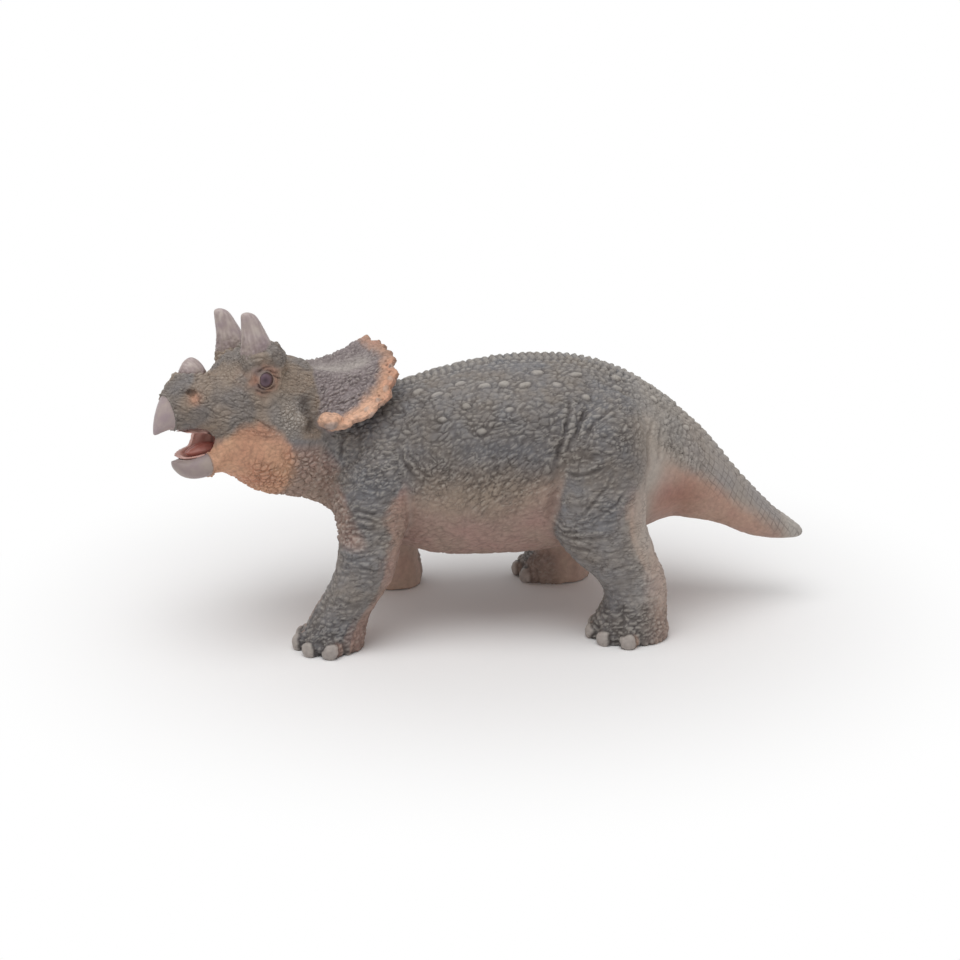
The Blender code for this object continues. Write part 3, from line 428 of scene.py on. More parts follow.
# The trunk's folds
# Loose skin gathers in deep creases ahead of the thigh, over the knees, behind the shoulder and round the
# neck. Each crease is a depth and a width, then a line on the flank in millimetres of X and Z.
FLANK_FOLDS = (
    (0.50, 0.42, (13.5, 43.5), (12.6, 41.2), (11.6, 38.4), (11.0, 35.4), (10.4, 33.2)),
    (0.42, 1.00, (11.4, 37.0), (10.2, 33.0), (9.7, 30.4), (10.0, 27.3), (9.8, 23.9), (9.7, 21.5)),
    (0.45, 0.40, (17.2, 42.6), (14.5, 40.1), (13.4, 38.3), (12.2, 35.6)),
    (0.40, 0.36, (19.2, 42.9), (16.0, 41.0), (14.0, 38.5), (12.9, 36.3)),
    (0.32, 0.36, (21.5, 42.2), (17.6, 40.0), (15.3, 37.5)),
    (0.26, 0.30, (12.6, 34.0), (16.5, 34.6), (20.0, 35.6)),
    (0.24, 0.30, (11.8, 31.6), (15.0, 31.9), (19.5, 33.4)),
    (0.40, 0.40, (9.8, 20.9), (13.2, 20.2), (16.8, 20.2), (19.0, 20.9)),
    (0.36, 0.36, (9.9, 22.2), (11.6, 21.6), (14.7, 21.4)),
    (0.36, 0.36, (10.6, 19.4), (12.1, 18.6), (14.1, 18.1), (16.6, 18.1)),
    (0.30, 0.30, (20.6, 31.6), (19.3, 30.1), (16.2, 26.3), (13.9, 24.2)),
    (0.28, 0.30, (21.8, 29.0), (21.0, 27.4), (17.4, 24.3), (15.5, 23.2)),
    (0.32, 0.34, (-26.4, 23.9), (-24.2, 25.5), (-21.2, 25.4)),
    (0.32, 0.34, (-26.4, 22.8), (-24.2, 24.4), (-21.4, 24.3)),
    (0.32, 0.34, (-26.4, 21.6), (-24.3, 22.8), (-21.4, 22.8)),
    (0.22, 0.30, (-27.5, 15.0), (-25.0, 16.0), (-22.0, 15.6)),
    (0.22, 0.30, (-30.0, 9.0), (-27.5, 10.2), (-24.5, 9.6)),
    (0.34, 0.50, (-17.6, 37.5), (-17.2, 35.1), (-15.1, 31.6), (-13.2, 29.8)),
    (0.26, 0.40, (-15.9, 36.8), (-14.0, 32.8), (-11.5, 30.9)),
    (0.34, 0.50, (-27.6, 41.0), (-26.4, 37.5), (-27.0, 33.0)),
    (0.26, 0.45, (-25.0, 41.5), (-23.4, 37.5), (-24.0, 34.0)),
    (0.32, 0.45, (28.6, 38.5), (27.4, 35.0), (26.8, 31.0), (26.6, 27.5)),
    (0.26, 0.40, (31.0, 38.0), (30.0, 34.5), (29.0, 31.5)),
    (0.24, 0.40, (33.2, 36.5), (32.4, 33.5)),
)


wobble = ripple(P, 2.2) * 0.5
broken = 0.62 + 0.5 * ripple(P, 3.1)
sideways = step(0.15, 0.5, np.abs(N[:, 1])) * on_body
for depth, width, *line in FLANK_FOLDS:
    away, run = to_line(P[:, [0, 2]] + coarse[:, [0, 2]] * 0.8 + medium[:, [0, 2]] * 0.35, line)
    fading = np.clip(run * (1 - run) * 7, 0, 1) ** 0.5 * sideways * broken
    groove = np.exp(-((away / (width * 0.85)) ** 2)) * fading
    lips = np.exp(-(((away - 1.9 * width) / width) ** 2)) * fading
    relief += 0.45 * depth * lips - 1.15 * depth * groove
    # The folds' grooves are darkened: dark wash and painted shade.
    wash_and_shade = np.maximum(wash_and_shade, groove * min(1.0, 0.5 / width))

# The trunk's beads and studs
# Rows of rounded beads run down the middle of the back, and pale oval studs stand among the scales on both
# sides of them.
BEAD_SPACING = 1.4
BEAD_ROWS = (
    # distance from the middle, half width, height
    (0.0, 0.85, 0.62), (1.6, 0.80, 0.52), (-1.6, 0.80, 0.34), (3.2, 0.80, 0.58), (-3.2, 0.80, 0.26), (4.8, 0.85, 0.62),
    (-4.8, 0.80, 0.18), (6.4, 0.85, 0.5),
)
STUDS = (
    (-9.7, -7.9), (-5.3, -6.5), (-4.9, -11.9), (-1.4, -8.7), (2.1, -9.0), (5.8, -9.6), (2.6, -13.9), (-2.5, -15.8),
    (-9.1, -12.9), (8.5, -6.5), (11.5, -9.7), (15.2, -6.6), (16.4, -11.8), (22.6, -7.7), (23.0, -4.4), (29.7, -4.9),
    (35.8, -5.3), (-12.9, -5.1),
)
walk = np.arange(-40, 66, 0.05)
phase = np.interp(P[:, 0], walk, np.cumsum(0.05 / (BEAD_SPACING * np.interp(walk, (-30, -8, 10, 40, 60), (0.8, 0.95, 1.0, 0.82, 0.65)))))
on_top = on_body * step(0.1, 0.5, N[:, 2]) * step(-33, -29, P[:, 0]) * step(60, 57, P[:, 0])
tall = np.interp(P[:, 0], (8, 22, 44, 56), (1.0, 1.5, 1.5, 0.9))
narrowing = np.interp(P[:, 0], (-30, 25, 45, 60), (1, 1, 0.7, 0.45))
for row, width, height in BEAD_ROWS:
    across = (P[:, 1] + 0.45 * medium[:, 0]) / narrowing - row
    drifted = phase + 0.5 * (row < 0) * (round(abs(row) / 1.6) % 2) + (0.3 if row < -1 else 0.12 if row > 1 else 0.0) * uneven
    along = (drifted - np.round(drifted)) * 2.05
    bead = np.clip(1 - along**2 - (across / width) ** 2 + 0.2 * speckle, 0, 1) ** 0.6 * on_top
    relief = relief * (1 - 0.6 * bead) + (bead - 0.35 * (np.abs(across) < width) * on_top) * height * narrowing * tall
    edge = np.clip(1 - np.abs(np.sqrt(along**2 + (across / width) ** 2) - 1.05) * 5, 0, 1) * on_top
    # A dark ring round each bead: dark wash and painted shade.
    wash_and_shade = np.maximum(wash_and_shade * (1 - 0.6 * bead), 0.4 * edge * (np.abs(across) < width * 1.2))
for x, y in STUDS:
    for mirror in (1, -1):
        middle = x if mirror == 1 else x + 0.9 * math.sin(x * 7.0)
        tilt = 0.35 * math.sin(x * 3.0 + y)
        from_x, from_y = P[:, 0] - middle, P[:, 1] - mirror * y
        from_z = P[:, 2] - P[np.argmin(from_x**2 + from_y**2 + 900 * (P[:, 2] < 30)), 2]
        along = from_x * math.cos(tilt) + from_y * math.sin(tilt)
        across = np.hypot(from_y * math.cos(tilt) - from_x * math.sin(tilt), from_z)
        width = 0.62
        length = 0.85 + 0.4 * abs(math.sin(x * 9.0 + y)) * (abs(y) < 10)
        reach = np.sqrt((along / length) ** 2 + (across / width) ** 2) * (1 + 0.4 * speckle)
        near = P[:, 2] > 30
        stud = np.clip(1 - reach**2, 0, 1) ** 0.5 * near
        ring = np.exp(-(((reach - 1.2) / 0.22) ** 2)) * near
        relief = relief * (1 - np.clip(stud * 2, 0, 1)) + stud * 0.42 - ring * 0.10
        # A dark ring round each stud: dark wash and painted shade.
        wash_and_shade = np.maximum(wash_and_shade * (1 - np.clip(stud * 2, 0, 1)), ring * 0.7)
        pale = np.maximum(pale, np.clip(stud * 1.5, 0, 1) * (0.28 + 0.25 * abs(math.sin(x * 5.0))))

# The tail's plates
# The upper half of the tail is cut into small squares by its scale rows, which fade into the smooth underside.
ring_count = (P[:, 0] * 0.86 - P[:, 2] * 0.51 + 0.35 * coarse[:, 0] + 0.2 * medium[:, 0]) / 1.2
around = np.arctan2(P[:, 1], over_line + 3.0) * np.interp(P[:, 0], (33, 60), (9.0, 3.0)) / 1.2
around += 0.3 * coarse[:, 1] + 0.15 * medium[:, 1]
plated = in_tail * step(34, 38, P[:, 0]) * step(-2.2, 1.0, over_line) * step(-0.45, 0.0, ripple(P, 2.2))
plated *= 1 - on_top * (np.abs(P[:, 1]) < 4.0 * narrowing)

# The legs' toes
# Each foot has four blunt nails, moulded with the leg, and pebbled skin above them.
TOE_HALF = (2.3, 1.95, 2.1)
TOE_REACH = 0.88
TOE_LIFT = 1.2
FEET = (
    ("front_leg_left", (-29.36, -16.0), (5.44, 5.68), -1, (-32, 8, 46, 84)),
    ("front_leg_right", (-16.38, 16.0), (5.44, 5.68), 1, (-32, 8, 46, 84)),
    ("hind_leg_left", (24.39, -16.5), (6.53, 5.98), -1, (-34, 4, 40, 78)),
    ("hind_leg_right", (15.02, 16.5), (6.53, 5.98), 1, (-34, 4, 40, 78)),
)
nail = np.zeros(skin.count)
for name, (x, y), (half_length, half_width), side, angles in FEET:
    for angle in angles:
        way = np.array((-math.cos(math.radians(angle)), side * math.sin(math.radians(angle))))
        middle = np.array((x, y)) + way * np.array((half_length, half_width)) * TOE_REACH
        flat = P[:, :2] - middle
        along, across = flat @ way, flat @ np.array((-way[1], way[0]))
        reach = np.sqrt((along / TOE_HALF[0]) ** 2 + (across / TOE_HALF[1]) ** 2 + ((P[:, 2] - TOE_LIFT) / TOE_HALF[2]) ** 2)
        front = np.sqrt((across / 1.25) ** 2 + ((P[:, 2] - 1.2) / 1.35) ** 2) * (1 + 0.25 * speckle)
        front = np.where((along > 0.3) & (reach < 1.5), front, 9.0)
        tip = step(1.2, 0.85, front)
        rim = np.exp(-(((front - 1.18) / 0.13) ** 2))
        between = np.exp(-(((reach - 1.25) / 0.14) ** 2)) * (P[:, 2] < 3.2) * (along > -0.3)
        relief = relief * (1 - 0.8 * tip) + 0.42 * np.clip(1.3 - front**2, 0, 1) ** 0.5 - 0.16 * rim - 0.16 * between
        # Dark round each nail and between the toes: dark wash and painted shade.
        wash_and_shade = np.maximum(wash_and_shade * (1 - 0.8 * tip), np.maximum(rim * 0.8, between * 0.6))
        nail = np.maximum(nail, tip)

# The head's face
# Lids and wrinkles ring the eyes, a thick fold lies over the jaw, and rows of small bumps stand round the
# horns and along the beak.
EYE_PLACE = (-11.12, 6.32, 9.69)
EYE_RADIUS = 1.9
EYE_OPENING = 1.24
EYE_TALL = 1.02
LID_PROFILE = (
    # distance from the eye's middle, height over the cheek above and below the eye
    (1.24, 0.46, 0.44), (1.40, 0.56, 0.48), (1.60, 0.42, 0.30), (1.80, 0.38, 0.22), (2.10, 0.44, 0.20),
    (2.45, 0.34, 0.14), (2.95, 0.12, -0.02), (3.40, 0.05, 0.03),
)
EYE_CREASES = (
    ((-1.5, 1.2), (-1.2, 1.55), (-0.65, 1.95), (0.05, 2.2), (1.0, 2.2)),
    ((-0.1, 1.7), (0.75, 1.5), (1.4, 1.25), (2.1, 1.2)),
    ((1.2, 0.7), (1.85, 0.4), (2.9, 0.3)),
    ((-1.5, -0.5), (-0.85, -1.4), (0.05, -1.7), (1.1, -1.45), (1.9, -0.8)),
    ((-1.7, -1.6), (-0.4, -2.3), (1.2, -2.1)),
)
CHEEK_FOLD = ((-18.9, -1.2), (-17.4, 0.9), (-15.9, 2.8), (-13.5, 3.3), (-11.7, 2.4), (-8.6, 0.7), (-6.3, 0.4))
BROW_SEAT = ((-11.9, 4.96, 15.0), (3.1, 2.5))
NOSE_SEAT = ((-21.6, 0.0, 10.2), (2.6, 2.0))
NOSTRIL = (-23.6, 3.6, 7.2)
BEHIND_CHEEK = ((-3.3, 7.5, 5.6), (-2.9, 8.0, 3.6), (-2.2, 7.9, 1.6))
eye_x, eye_y, eye_z = EYE_PLACE
over_eye = np.stack((sided[:, 0] - eye_x, (sided[:, 2] - eye_z) / EYE_TALL), axis=1)
eye_reach = np.linalg.norm(over_eye, axis=1)
eye_reach += (medium[:, 0] * 0.45 + coarse[:, 1] * 0.3) * step(1.2, 2.0, eye_reach)
on_side = in_head * step(3.4, 4.6, sided[:, 1]) * (1 - in_frill)
round_eye = (eye_reach > 3.1) & (eye_reach < 3.9) & (on_side > 0.9)
level = np.stack((sided[:, 0], sided[:, 2], np.ones(skin.count)), axis=1)
plane = level @ np.linalg.lstsq(level[round_eye], sided[round_eye, 1], rcond=None)[0]
profile = np.array(LID_PROFILE).T
over = np.interp(eye_reach, profile[0], profile[1])
below = np.interp(eye_reach, profile[0], profile[2])
lid_height = below + (over - below) * step(-0.6, 0.6, over_eye[:, 1])
ball_front = eye_y + np.sqrt(np.clip(EYE_RADIUS**2 - over_eye[:, 0] ** 2 - (over_eye[:, 1] * EYE_TALL) ** 2, 0, None))
lid_height = lid_height * (1 + 0.3 * wobble) + (0.24 * ripple(P, 0.75) + 0.12 * speckle) * step(1.3, 1.5, eye_reach)
lid_level = np.maximum(plane + lid_height, (ball_front + 0.12) * (eye_reach < 1.8))
lid_level = np.where(eye_reach < EYE_OPENING, ball_front - 0.45, lid_level)
lid_share = step(3.6, 3.0, eye_reach) * (on_side > 0.5) * (sided[:, 1] > 4.5)
lid_crease = 0.8 * np.exp(-(((eye_reach - EYE_OPENING) / 0.1) ** 2))
for crease in EYE_CREASES:
    away, run = to_line(over_eye + 0.12 * medium[:, [0, 2]], crease)
    cut = np.exp(-((away / 0.15) ** 2)) * np.clip(run * (1 - run) * 7, 0, 1) ** 0.5 * (eye_reach > EYE_OPENING + 0.1)
    lid_level = lid_level - 0.3 * cut
    lid_crease = np.maximum(lid_crease, cut)
relief *= 1 - lid_share
# Dark in the creases round the eye: dark wash and painted shade.
wash_and_shade = np.maximum(wash_and_shade * (1 - 0.5 * lid_share), np.clip(lid_crease, 0, 1) * lid_share * 0.7)
lid = np.exp(-(((eye_reach - 1.42) / 0.12) ** 2)) * on_side
fold, fold_run = to_line(sided[:, [0, 2]] + 0.3 * medium[:, [0, 2]], CHEEK_FOLD)
above_fold = sided[:, 2] > np.interp(sided[:, 0], *np.array(CHEEK_FOLD).T)
fold_here = in_head * (1 - in_frill) * step(2.5, 4.5, sided[:, 1])
fold_here *= np.clip((1 - fold_run) * 3, 0, 1)
fold_here *= 0.6 + 0.6 * wobble
relief += fold_here * (np.exp(-((fold / 1.0) ** 2)) * above_fold * 0.28 - np.exp(-((fold / 0.26) ** 2)) * 0.22)
# Dark along the cheek fold: dark wash and painted shade.
wash_and_shade = np.maximum(wash_and_shade, fold_here * np.exp(-((fold / 0.2) ** 2)) * 0.45)
for (x, y, z), (half_length, half_width), bumps in ((*BROW_SEAT, 15), (*NOSE_SEAT, 13)):
    long, wide = (sided[:, 0] - x) / half_length, (sided[:, 1] - y) / half_width
    reach = np.sqrt(long**2 + wide**2)
    knobs = (0.55 + 0.45 * np.cos(np.arctan2(wide, long) * bumps)) * np.exp(-(((reach - 1.22) / 0.13) ** 2))
    knobs *= in_head * (sided[:, 2] > z - 2.4)
    relief += 0.5 * knobs
hole = np.linalg.norm((sided - np.array(NOSTRIL)) / np.array((0.95, 1.3, 0.55)), axis=1)
relief -= 0.45 * np.exp(-(hole**2)) * in_head
relief += 0.22 * np.exp(-(((hole - 1.6) / 0.35) ** 2)) * in_head * (sided[:, 2] > NOSTRIL[2])
# Dark in the nostril: dark wash and painted shade.
wash_and_shade = np.maximum(wash_and_shade, 0.7 * np.exp(-((hole / 0.8) ** 2)) * in_head)
hollow = np.exp(-((to_line(sided, BEHIND_CHEEK)[0] / 1.3) ** 2)) * in_head
relief -= 0.5 * hollow
# The hollow is painted dark: painted shadow in the gap under the frill's lower corner.
wash_and_shade = np.maximum(wash_and_shade, 0.9 * hollow)
lip = np.exp(-(((beak_edge - 0.2) / 0.13) ** 2)) * (1 - in_beak) * on_head
relief += lip * (0.32 + 0.35 * ripple(P, 0.8))
# Darker beak halves, the lower one more, and a dark line along the beak's edge: partly dark paint, partly painted
# shade.
wash_and_shade = np.maximum(wash_and_shade * (1 - in_beak) + 0.2 * on["upper_beak"] + 0.6 * on["lower_beak"], np.exp(-(((beak_edge - 0.45) / 0.1) ** 2)) * 0.5 * on_head)
relief *= 1 - 0.9 * in_beak

# The frill's ridges and rim
# A saddle-shaped shield: a ridge along its middle and one on each side with a pale hollow between them, and a
# thick scalloped rim with pits, blunt points at the top and a large round scale at each lower corner.
RIM = (
    (13.6, 0, 16.9), (14.5, 4, 15.8), (14.3, 7.5, 14.3), (13.3, 10.3, 12.0), (11.8, 12.6, 9.3), (9.0, 13.8, 6.5),
    (5.6, 14.1, 4.4), (1.8, 13.4, 2.4), (-1.0, 12.0, 1.6), (-2.2, 10.8, 2.8),
)
SIDE_RIDGE = ((-3.5, 1.6, 14.0), (-1.4, 2.6, 12.8), (0.9, 3.9, 11.4), (2.3, 5.0, 10.7), (4.3, 6.4, 10.0), (8.3, 8.2, 10.3))
HOLLOW = ((1.5, 2.6, 12.2), (3.7, 3.2, 12.0), (6.0, 4.1, 12.2), (9.0, 4.6, 13.2))
CORNER = (-0.4, 11.9, 2.5)
rim, along_rim = to_line(sided, RIM)
along_rim *= np.linalg.norm(np.diff(np.array(RIM, float), axis=0), axis=1).sum()
breadth = np.interp(along_rim, (0, 8, 14, 22, 27), (2.3, 2.2, 2.8, 3.3, 2.8))
band = step(1.5, -1.3, rim - breadth + 0.9 * wobble + 0.6 * speckle) * in_frill
top_side = step(-0.2, 0.3, NH[:, 2] - NH[:, 0] * 0.5) * in_frill
relief += 0.6 * np.exp(-((to_line(sided, SIDE_RIDGE)[0] / 1.1) ** 2)) * step(-4, -1, H[:, 0]) * in_head
relief += 0.7 * np.exp(-((H[:, 1] / 1.2) ** 2)) * step(-2, 1, H[:, 0]) * top_side
hollow_here = np.exp(-((to_line(sided, HOLLOW)[0] / 1.9) ** 2)) * top_side
calm = (1 - 0.7 * band) * (1 - 0.7 * hollow_here)
relief = relief * calm - 0.75 * hollow_here + 0.22 * band * step(0.4, 1.2, rim)
wash_and_shade *= calm
outward = sided - np.array((2.0, 0.0, 6.0))
outward /= np.linalg.norm(outward, axis=1)[:, None]
outward[:, 1] *= np.sign(H[:, 1])
at_edge = step(1.7, 0.3, rim) * in_frill
tooth = np.abs((along_rim / 2.3) % 1 - 0.5) * 2
points_here = step(11.0, 7.5, along_rim)
spread_out = at_edge * (points_here * (0.75 * tooth**1.6 - 0.5) + (1 - points_here) * 0.22 * np.sin(along_rim * 2.1 + 2 * wobble))
knob = np.clip(1 - (np.linalg.norm((sided - np.array(CORNER)) / np.array((1.5, 1.5, 1.0)), axis=1)) ** 2, 0, 1) ** 0.5
knob *= in_frill
relief += 0.45 * knob
pits = np.zeros(skin.count)
used = band > 0.1
pits[used] = [noise.voronoi(place)[0][0] for place in (bent_head[used] / 1.25).tolist()]
pits = (1 - step(0.12, 0.26, pits)) * band * used * (1 - knob) * step(0.25, -0.1, patch + 0.6 * points_here - 0.5)
relief -= 0.22 * pits
# Dark in the rim's pits: dark wash and painted shade.
wash_and_shade = np.maximum(wash_and_shade * (1 - knob), 0.75 * pits)
rim_studs = np.clip(1 - ((along_rim - 2.9 * np.round(along_rim / 2.9)) / 0.75) ** 2 - ((rim - 0.9) / 0.6) ** 2, 0, 1) ** 0.5
rim_studs *= in_frill * (1 - points_here) * (1 - knob) * step(26.5, 24.5, along_rim)
relief += 0.2 * rim_studs

P = P + N * relief[:, None] + (outward @ np.array(HEAD_TURN).T) * spread_out[:, None]
sunk = (lid_level - sided[:, 1]) * lid_share * np.sign(H[:, 1])
P += sunk[:, None] * np.array(HEAD_TURN)[:, 1]
P[:, 2] = np.maximum(P[:, 2], 0.0)
put_points(master, P)

# The paint masks
# The figure is painted by hand after moulding. These masks say where each coat lies: pink underneath, orange
# on the jaw and rim, pale on what stands out, a dark wash in the creases that also paints their shade, and a dry
# brush over the upward-facing tops that also paints their highlight from above.
N2 = normals_of(master)
roughness = skin.soft(relief, 5)
# Lighter paint on raised tops that face upwards: partly a dry brush, partly a painted highlight where the light from
# above falls.
brush_and_highlight = step(0.02, 0.16, relief - roughness) * step(-0.2, 0.6, N2[:, 2] + 0.3) * (1 - 0.7 * band)
belly = np.clip(np.maximum.reduce((under * 0.9, chest * 0.95, leg_back * 0.85, leg_inner, tail_under)), 0, 1) * on_body
jaw_line = np.interp(H[:, 0], (-20, -18.8, -17.4, -15.4, -11.6, -7.2, -4.6), (-1.8, -1.6, -0.6, 1.3, 1.9, -0.2, -3.0))
jaw_orange = step(1.1, -1.3, H[:, 2] - jaw_line + 0.7 * patch + 0.4 * speckle) * in_head * (1 - in_beak)
jaw_orange *= step(-3.2, -6.2, H[:, 0] + 0.6 * patch + 0.5 * speckle)
brush_and_highlight *= 1 - 0.4 * jaw_orange
throat *= 1 - jaw_orange
belly = np.maximum(belly, throat * 0.95)
eye_warm = on_side * np.clip(0.55 + 1.3 * ripple(P, 1.5), 0.1, 1) * (np.exp(-(((eye_reach - 1.8) / 0.8) ** 2)) * 0.7 + 0.7 * np.exp(-((np.linalg.norm(over_eye + np.array((3.2, 0.2)), axis=1) / 1.2) ** 2)))
nostril_warm = 0.95 * np.exp(-((np.linalg.norm(sided - np.array((-22.8, 3.9, 6.1)), axis=1) / 1.1) ** 2)) * in_head
warm = np.clip(jaw_orange + band * (0.8 + 0.2 * top_side) * (1 - 0.2 * rim_studs) + 0.7 * eye_warm + nostril_warm, 0, 1)
root_patch = np.exp(-(((P[:, 0] - 34) / 5) ** 2) - ((P[:, 2] - 24) / 3.5) ** 2)
# Warm on the inner faces of the legs: partly their pink-orange paint, partly painted light lifting them out of the
# shade under the belly.
warm = np.clip(warm * (1 - knob) * (1 - 0.5 * points_here * band) + 0.8 * leg_inner + (0.4 * (P[:, 0] > 0) + 0.25) * leg_back + 0.25 * (chest + throat) + 0.14 * under, 0, 1)
warm = np.clip(warm + 0.42 * tail_under * step(56, 48, P[:, 0]) * (1 - buttock) + 0.08 * in_tail, 0, 1)
belly = np.maximum(belly, 0.8 * band * points_here)
tail_tip = step(54.0, 57.5, P[:, 0])
grey_tail = in_tail * (1 - tail_under)
# Among these, the cheek's raised, upward-facing tops get extra pale: dry brush and painted highlight.
pale = pale + 0.7 * hollow_here + 0.3 * knob + 0.8 * near_cheek * brush_and_highlight + 0.5 * near_cheek + 0.15 * lid + np.maximum(0.46 * croup, 0.42 * grey_tail)
# Pale on the inner faces of the legs: painted light lifting them out of the shade under the belly.
pale += 0.45 * leg_inner + 0.25 * (chest + throat) + 0.12 * leg_back + (0.07 + 0.06 * (P[:, 0] > 0)) * limb * step(26, 16, P[:, 2]) + 0.07 * in_leg * step(5, 9, P[:, 0]) * step(32, 28, P[:, 2]) + 0.13 * under + 0.7 * tail_tip
pale = np.clip(pale + (0.02 + 0.12 * step(18, 22, along_rim) + 0.3 * rim_studs) * band * (1 - points_here) + 0.18 * tail_under * (1 - root_patch), 0, 1)
mauve = in_frill * np.maximum(1 - band, step(18.5, 22.5, along_rim))
low_flank = flank * step(36, 29, P[:, 2]) * step(-17, -12, P[:, 0]) + 0.8 * under * step(-4, 1, P[:, 2] - low_belly)
pale = np.clip(pale + 0.5 * buttock, 0, 1)
patchy = step(-0.3, 0.3, ripple(H, 4.0))
olive = 0.55 * face * (1 - in_jaw) * (0.35 + 0.9 * patchy) + 0.6 * low_flank + 0.8 * buttock + 1.0 * tail_tip + 1.0 * knob
olive = np.clip(olive + 0.5 * rim_studs + 0.3 * step(3.0, 0.5, np.abs(over_line)) * in_tail, 0, 1)
# Less darkening on the buttock and on the inner faces of the legs; on the legs this is painted light in the shade under
# the belly.
wash_and_shade *= 1 - 0.55 * np.clip(buttock + leg_inner, 0, 1)
thigh_middle = in_leg * step(5, 9, P[:, 0]) * step(28, 33, P[:, 2]) * step(42, 38, P[:, 2])
dusky = step(45, 40, P[:, 2]) * step(27, 32, P[:, 2]) * body * (1 - in_leg) * (1 - under) * step(-20, -14, P[:, 0]) * step(27, 22, P[:, 0])
# Darker tone over whole regions: the frill's field, the upper flank behind the shoulder, the face, the feet, the middle
# of the thigh and the upper foreleg.
wash_and_shade = np.clip(wash_and_shade + 0.05 * in_frill * (1 - band) + (0.38 + 0.1 * step(36, 38.5, P[:, 2])) * dusky + 0.1 * face * (1 - in_jaw) * (1 - near_cheek) + 0.23 * foot + 0.37 * thigh_middle + 0.18 * in_leg * fore * step(18, 22, P[:, 2]) * step(30, 26, P[:, 2]), 0, 1)
mouth_in = np.exp(-((np.linalg.norm((H - np.array((-18.7, 0, -2.2))) / np.array((7.2, 3.7, 4.3)), axis=1)) ** 8)) * on_head
facing_in = -(N * (P - np.array(from_head((-18.0, 0, -2.2))))).sum(1)
red = np.clip(0.26 * on_side * np.exp(-(((eye_reach - 1.9) / 0.8) ** 2)) + mouth_in * step(0.0, 0.6, facing_in) + 0.5 * root_patch * tail_under * (1 - buttock), 0, 1)

# The castings
# Each casting is cut from the master along its seam, closed, and given the painted skin.
def linear(code):
    """An sRGB hex colour as linear values."""
    parts = [int(code[index:index + 2], 16) / 255 for index in (1, 3, 5)]
    return tuple(part / 12.92 if part <= 0.04045 else ((part + 0.055) / 1.055) ** 2.4 for part in parts) + (1.0,)


def material(name):
    made = bpy.data.materials.new(name)
    made.use_nodes = True
    return made, made.node_tree, made.node_tree.nodes["Principled BSDF"]


def add(tree, kind, inputs=None, **settings):
    """Adds a node, sets its properties, and sets or links its inputs."""
    made = tree.nodes.new(kind)
    for name, value in settings.items():
        setattr(made, name, value)
    for key, value in (inputs or {}).items():
        if isinstance(value, bpy.types.NodeSocket):
            tree.links.new(value, made.inputs[key])
        else:
            made.inputs[key].default_value = value
    return made


def mixed(tree, share, first, second):
    """A colour between two, by a share."""
    return add(tree, "ShaderNodeMix", {0: share, 6: first, 7: second}, data_type="RGBA").outputs[2]


def scaled(tree, value, factor):
    return add(tree, "ShaderNodeMath", {0: value, 1: factor}, operation="MULTIPLY", use_clamp=True).outputs[0]


painted_vinyl, tree, shader = material("Hand-painted soft PVC")
place = add(tree, "ShaderNodeTexCoord").outputs["Object"]
coats = add(tree, "ShaderNodeAttribute", attribute_name="coats")
tones = add(tree, "ShaderNodeAttribute", attribute_name="tones")
lines = add(tree, "ShaderNodeAttribute", attribute_name="lines")
coat = add(tree, "ShaderNodeSeparateColor", {0: coats.outputs["Color"]}).outputs
tone = add(tree, "ShaderNodeSeparateColor", {0: tones.outputs["Color"]}).outputs
line = add(tree, "ShaderNodeSeparateColor", {0: lines.outputs["Color"]}).outputs
drift = add(tree, "ShaderNodeTexNoise", {"Vector": place, "Scale": 1 / 0.0022, "Detail": 1.0}).outputs["Color"]
drift = add(tree, "ShaderNodeVectorMath", {0: drift, 1: (0.0011, 0.0011, 0.0011)}, operation="MULTIPLY").outputs["Vector"]
bent_place = add(tree, "ShaderNodeVectorMath", {0: place, 1: drift}, operation="ADD").outputs["Vector"]


def fine_creases(tilt, sizes, share):
    """Hair-fine creases between the moulded scales: 1 in a crease and 0 between them."""
    turned = add(tree, "ShaderNodeMapping", {"Vector": bent_place, "Rotation": (0, math.radians(tilt), 0), "Scale": sizes},
                 vector_type="TEXTURE").outputs["Vector"]
    value = add(tree, "ShaderNodeTexVoronoi", {"Vector": turned, "Scale": 1.0}, feature="DISTANCE_TO_EDGE").outputs["Distance"]
    value = add(tree, "ShaderNodeMapRange", {"Value": value, "From Max": 0.13, "To Min": 1.0, "To Max": 0.0}).outputs["Result"]
    return add(tree, "ShaderNodeMath", {0: value, 1: share}, operation="MULTIPLY").outputs[0]


creases = fine_creases(-42, (0.0017, 0.0010, 0.0007), line[0])
more = fine_creases(-6, (0.0020, 0.0014, 0.0006), line[1])
creases = add(tree, "ShaderNodeMath", {0: creases, 1: more}, operation="MAXIMUM").outputs[0]
broken = add(tree, "ShaderNodeTexNoise", {"Vector": place, "Scale": 1 / 0.0024, "Detail": 1.0}).outputs["Fac"]
broken = add(tree, "ShaderNodeMapRange", {"Value": broken, "From Min": 0.38, "From Max": 0.58, "To Min": 0.15}).outputs["Result"]
creases = add(tree, "ShaderNodeMath", {0: creases, 1: broken}, operation="MULTIPLY").outputs[0]
plate = add(tree, "ShaderNodeAttribute", attribute_name="plates")
plate = add(tree, "ShaderNodeSeparateXYZ", {0: plate.outputs["Vector"]}).outputs
rows = [add(tree, "ShaderNodeMath", {0: count, 1: 0.5}, operation="PINGPONG").outputs[0] for count in (plate[0], plate[1])]
rows = add(tree, "ShaderNodeMath", {0: rows[0], 1: rows[1]}, operation="MINIMUM").outputs[0]
rows = add(tree, "ShaderNodeMapRange", {"Value": rows, "From Min": 0.03, "From Max": 0.11, "To Min": 1.0, "To Max": 0.0}).outputs["Result"]
rows = add(tree, "ShaderNodeMath", {0: rows, 1: plate[2]}, operation="MULTIPLY").outputs[0]
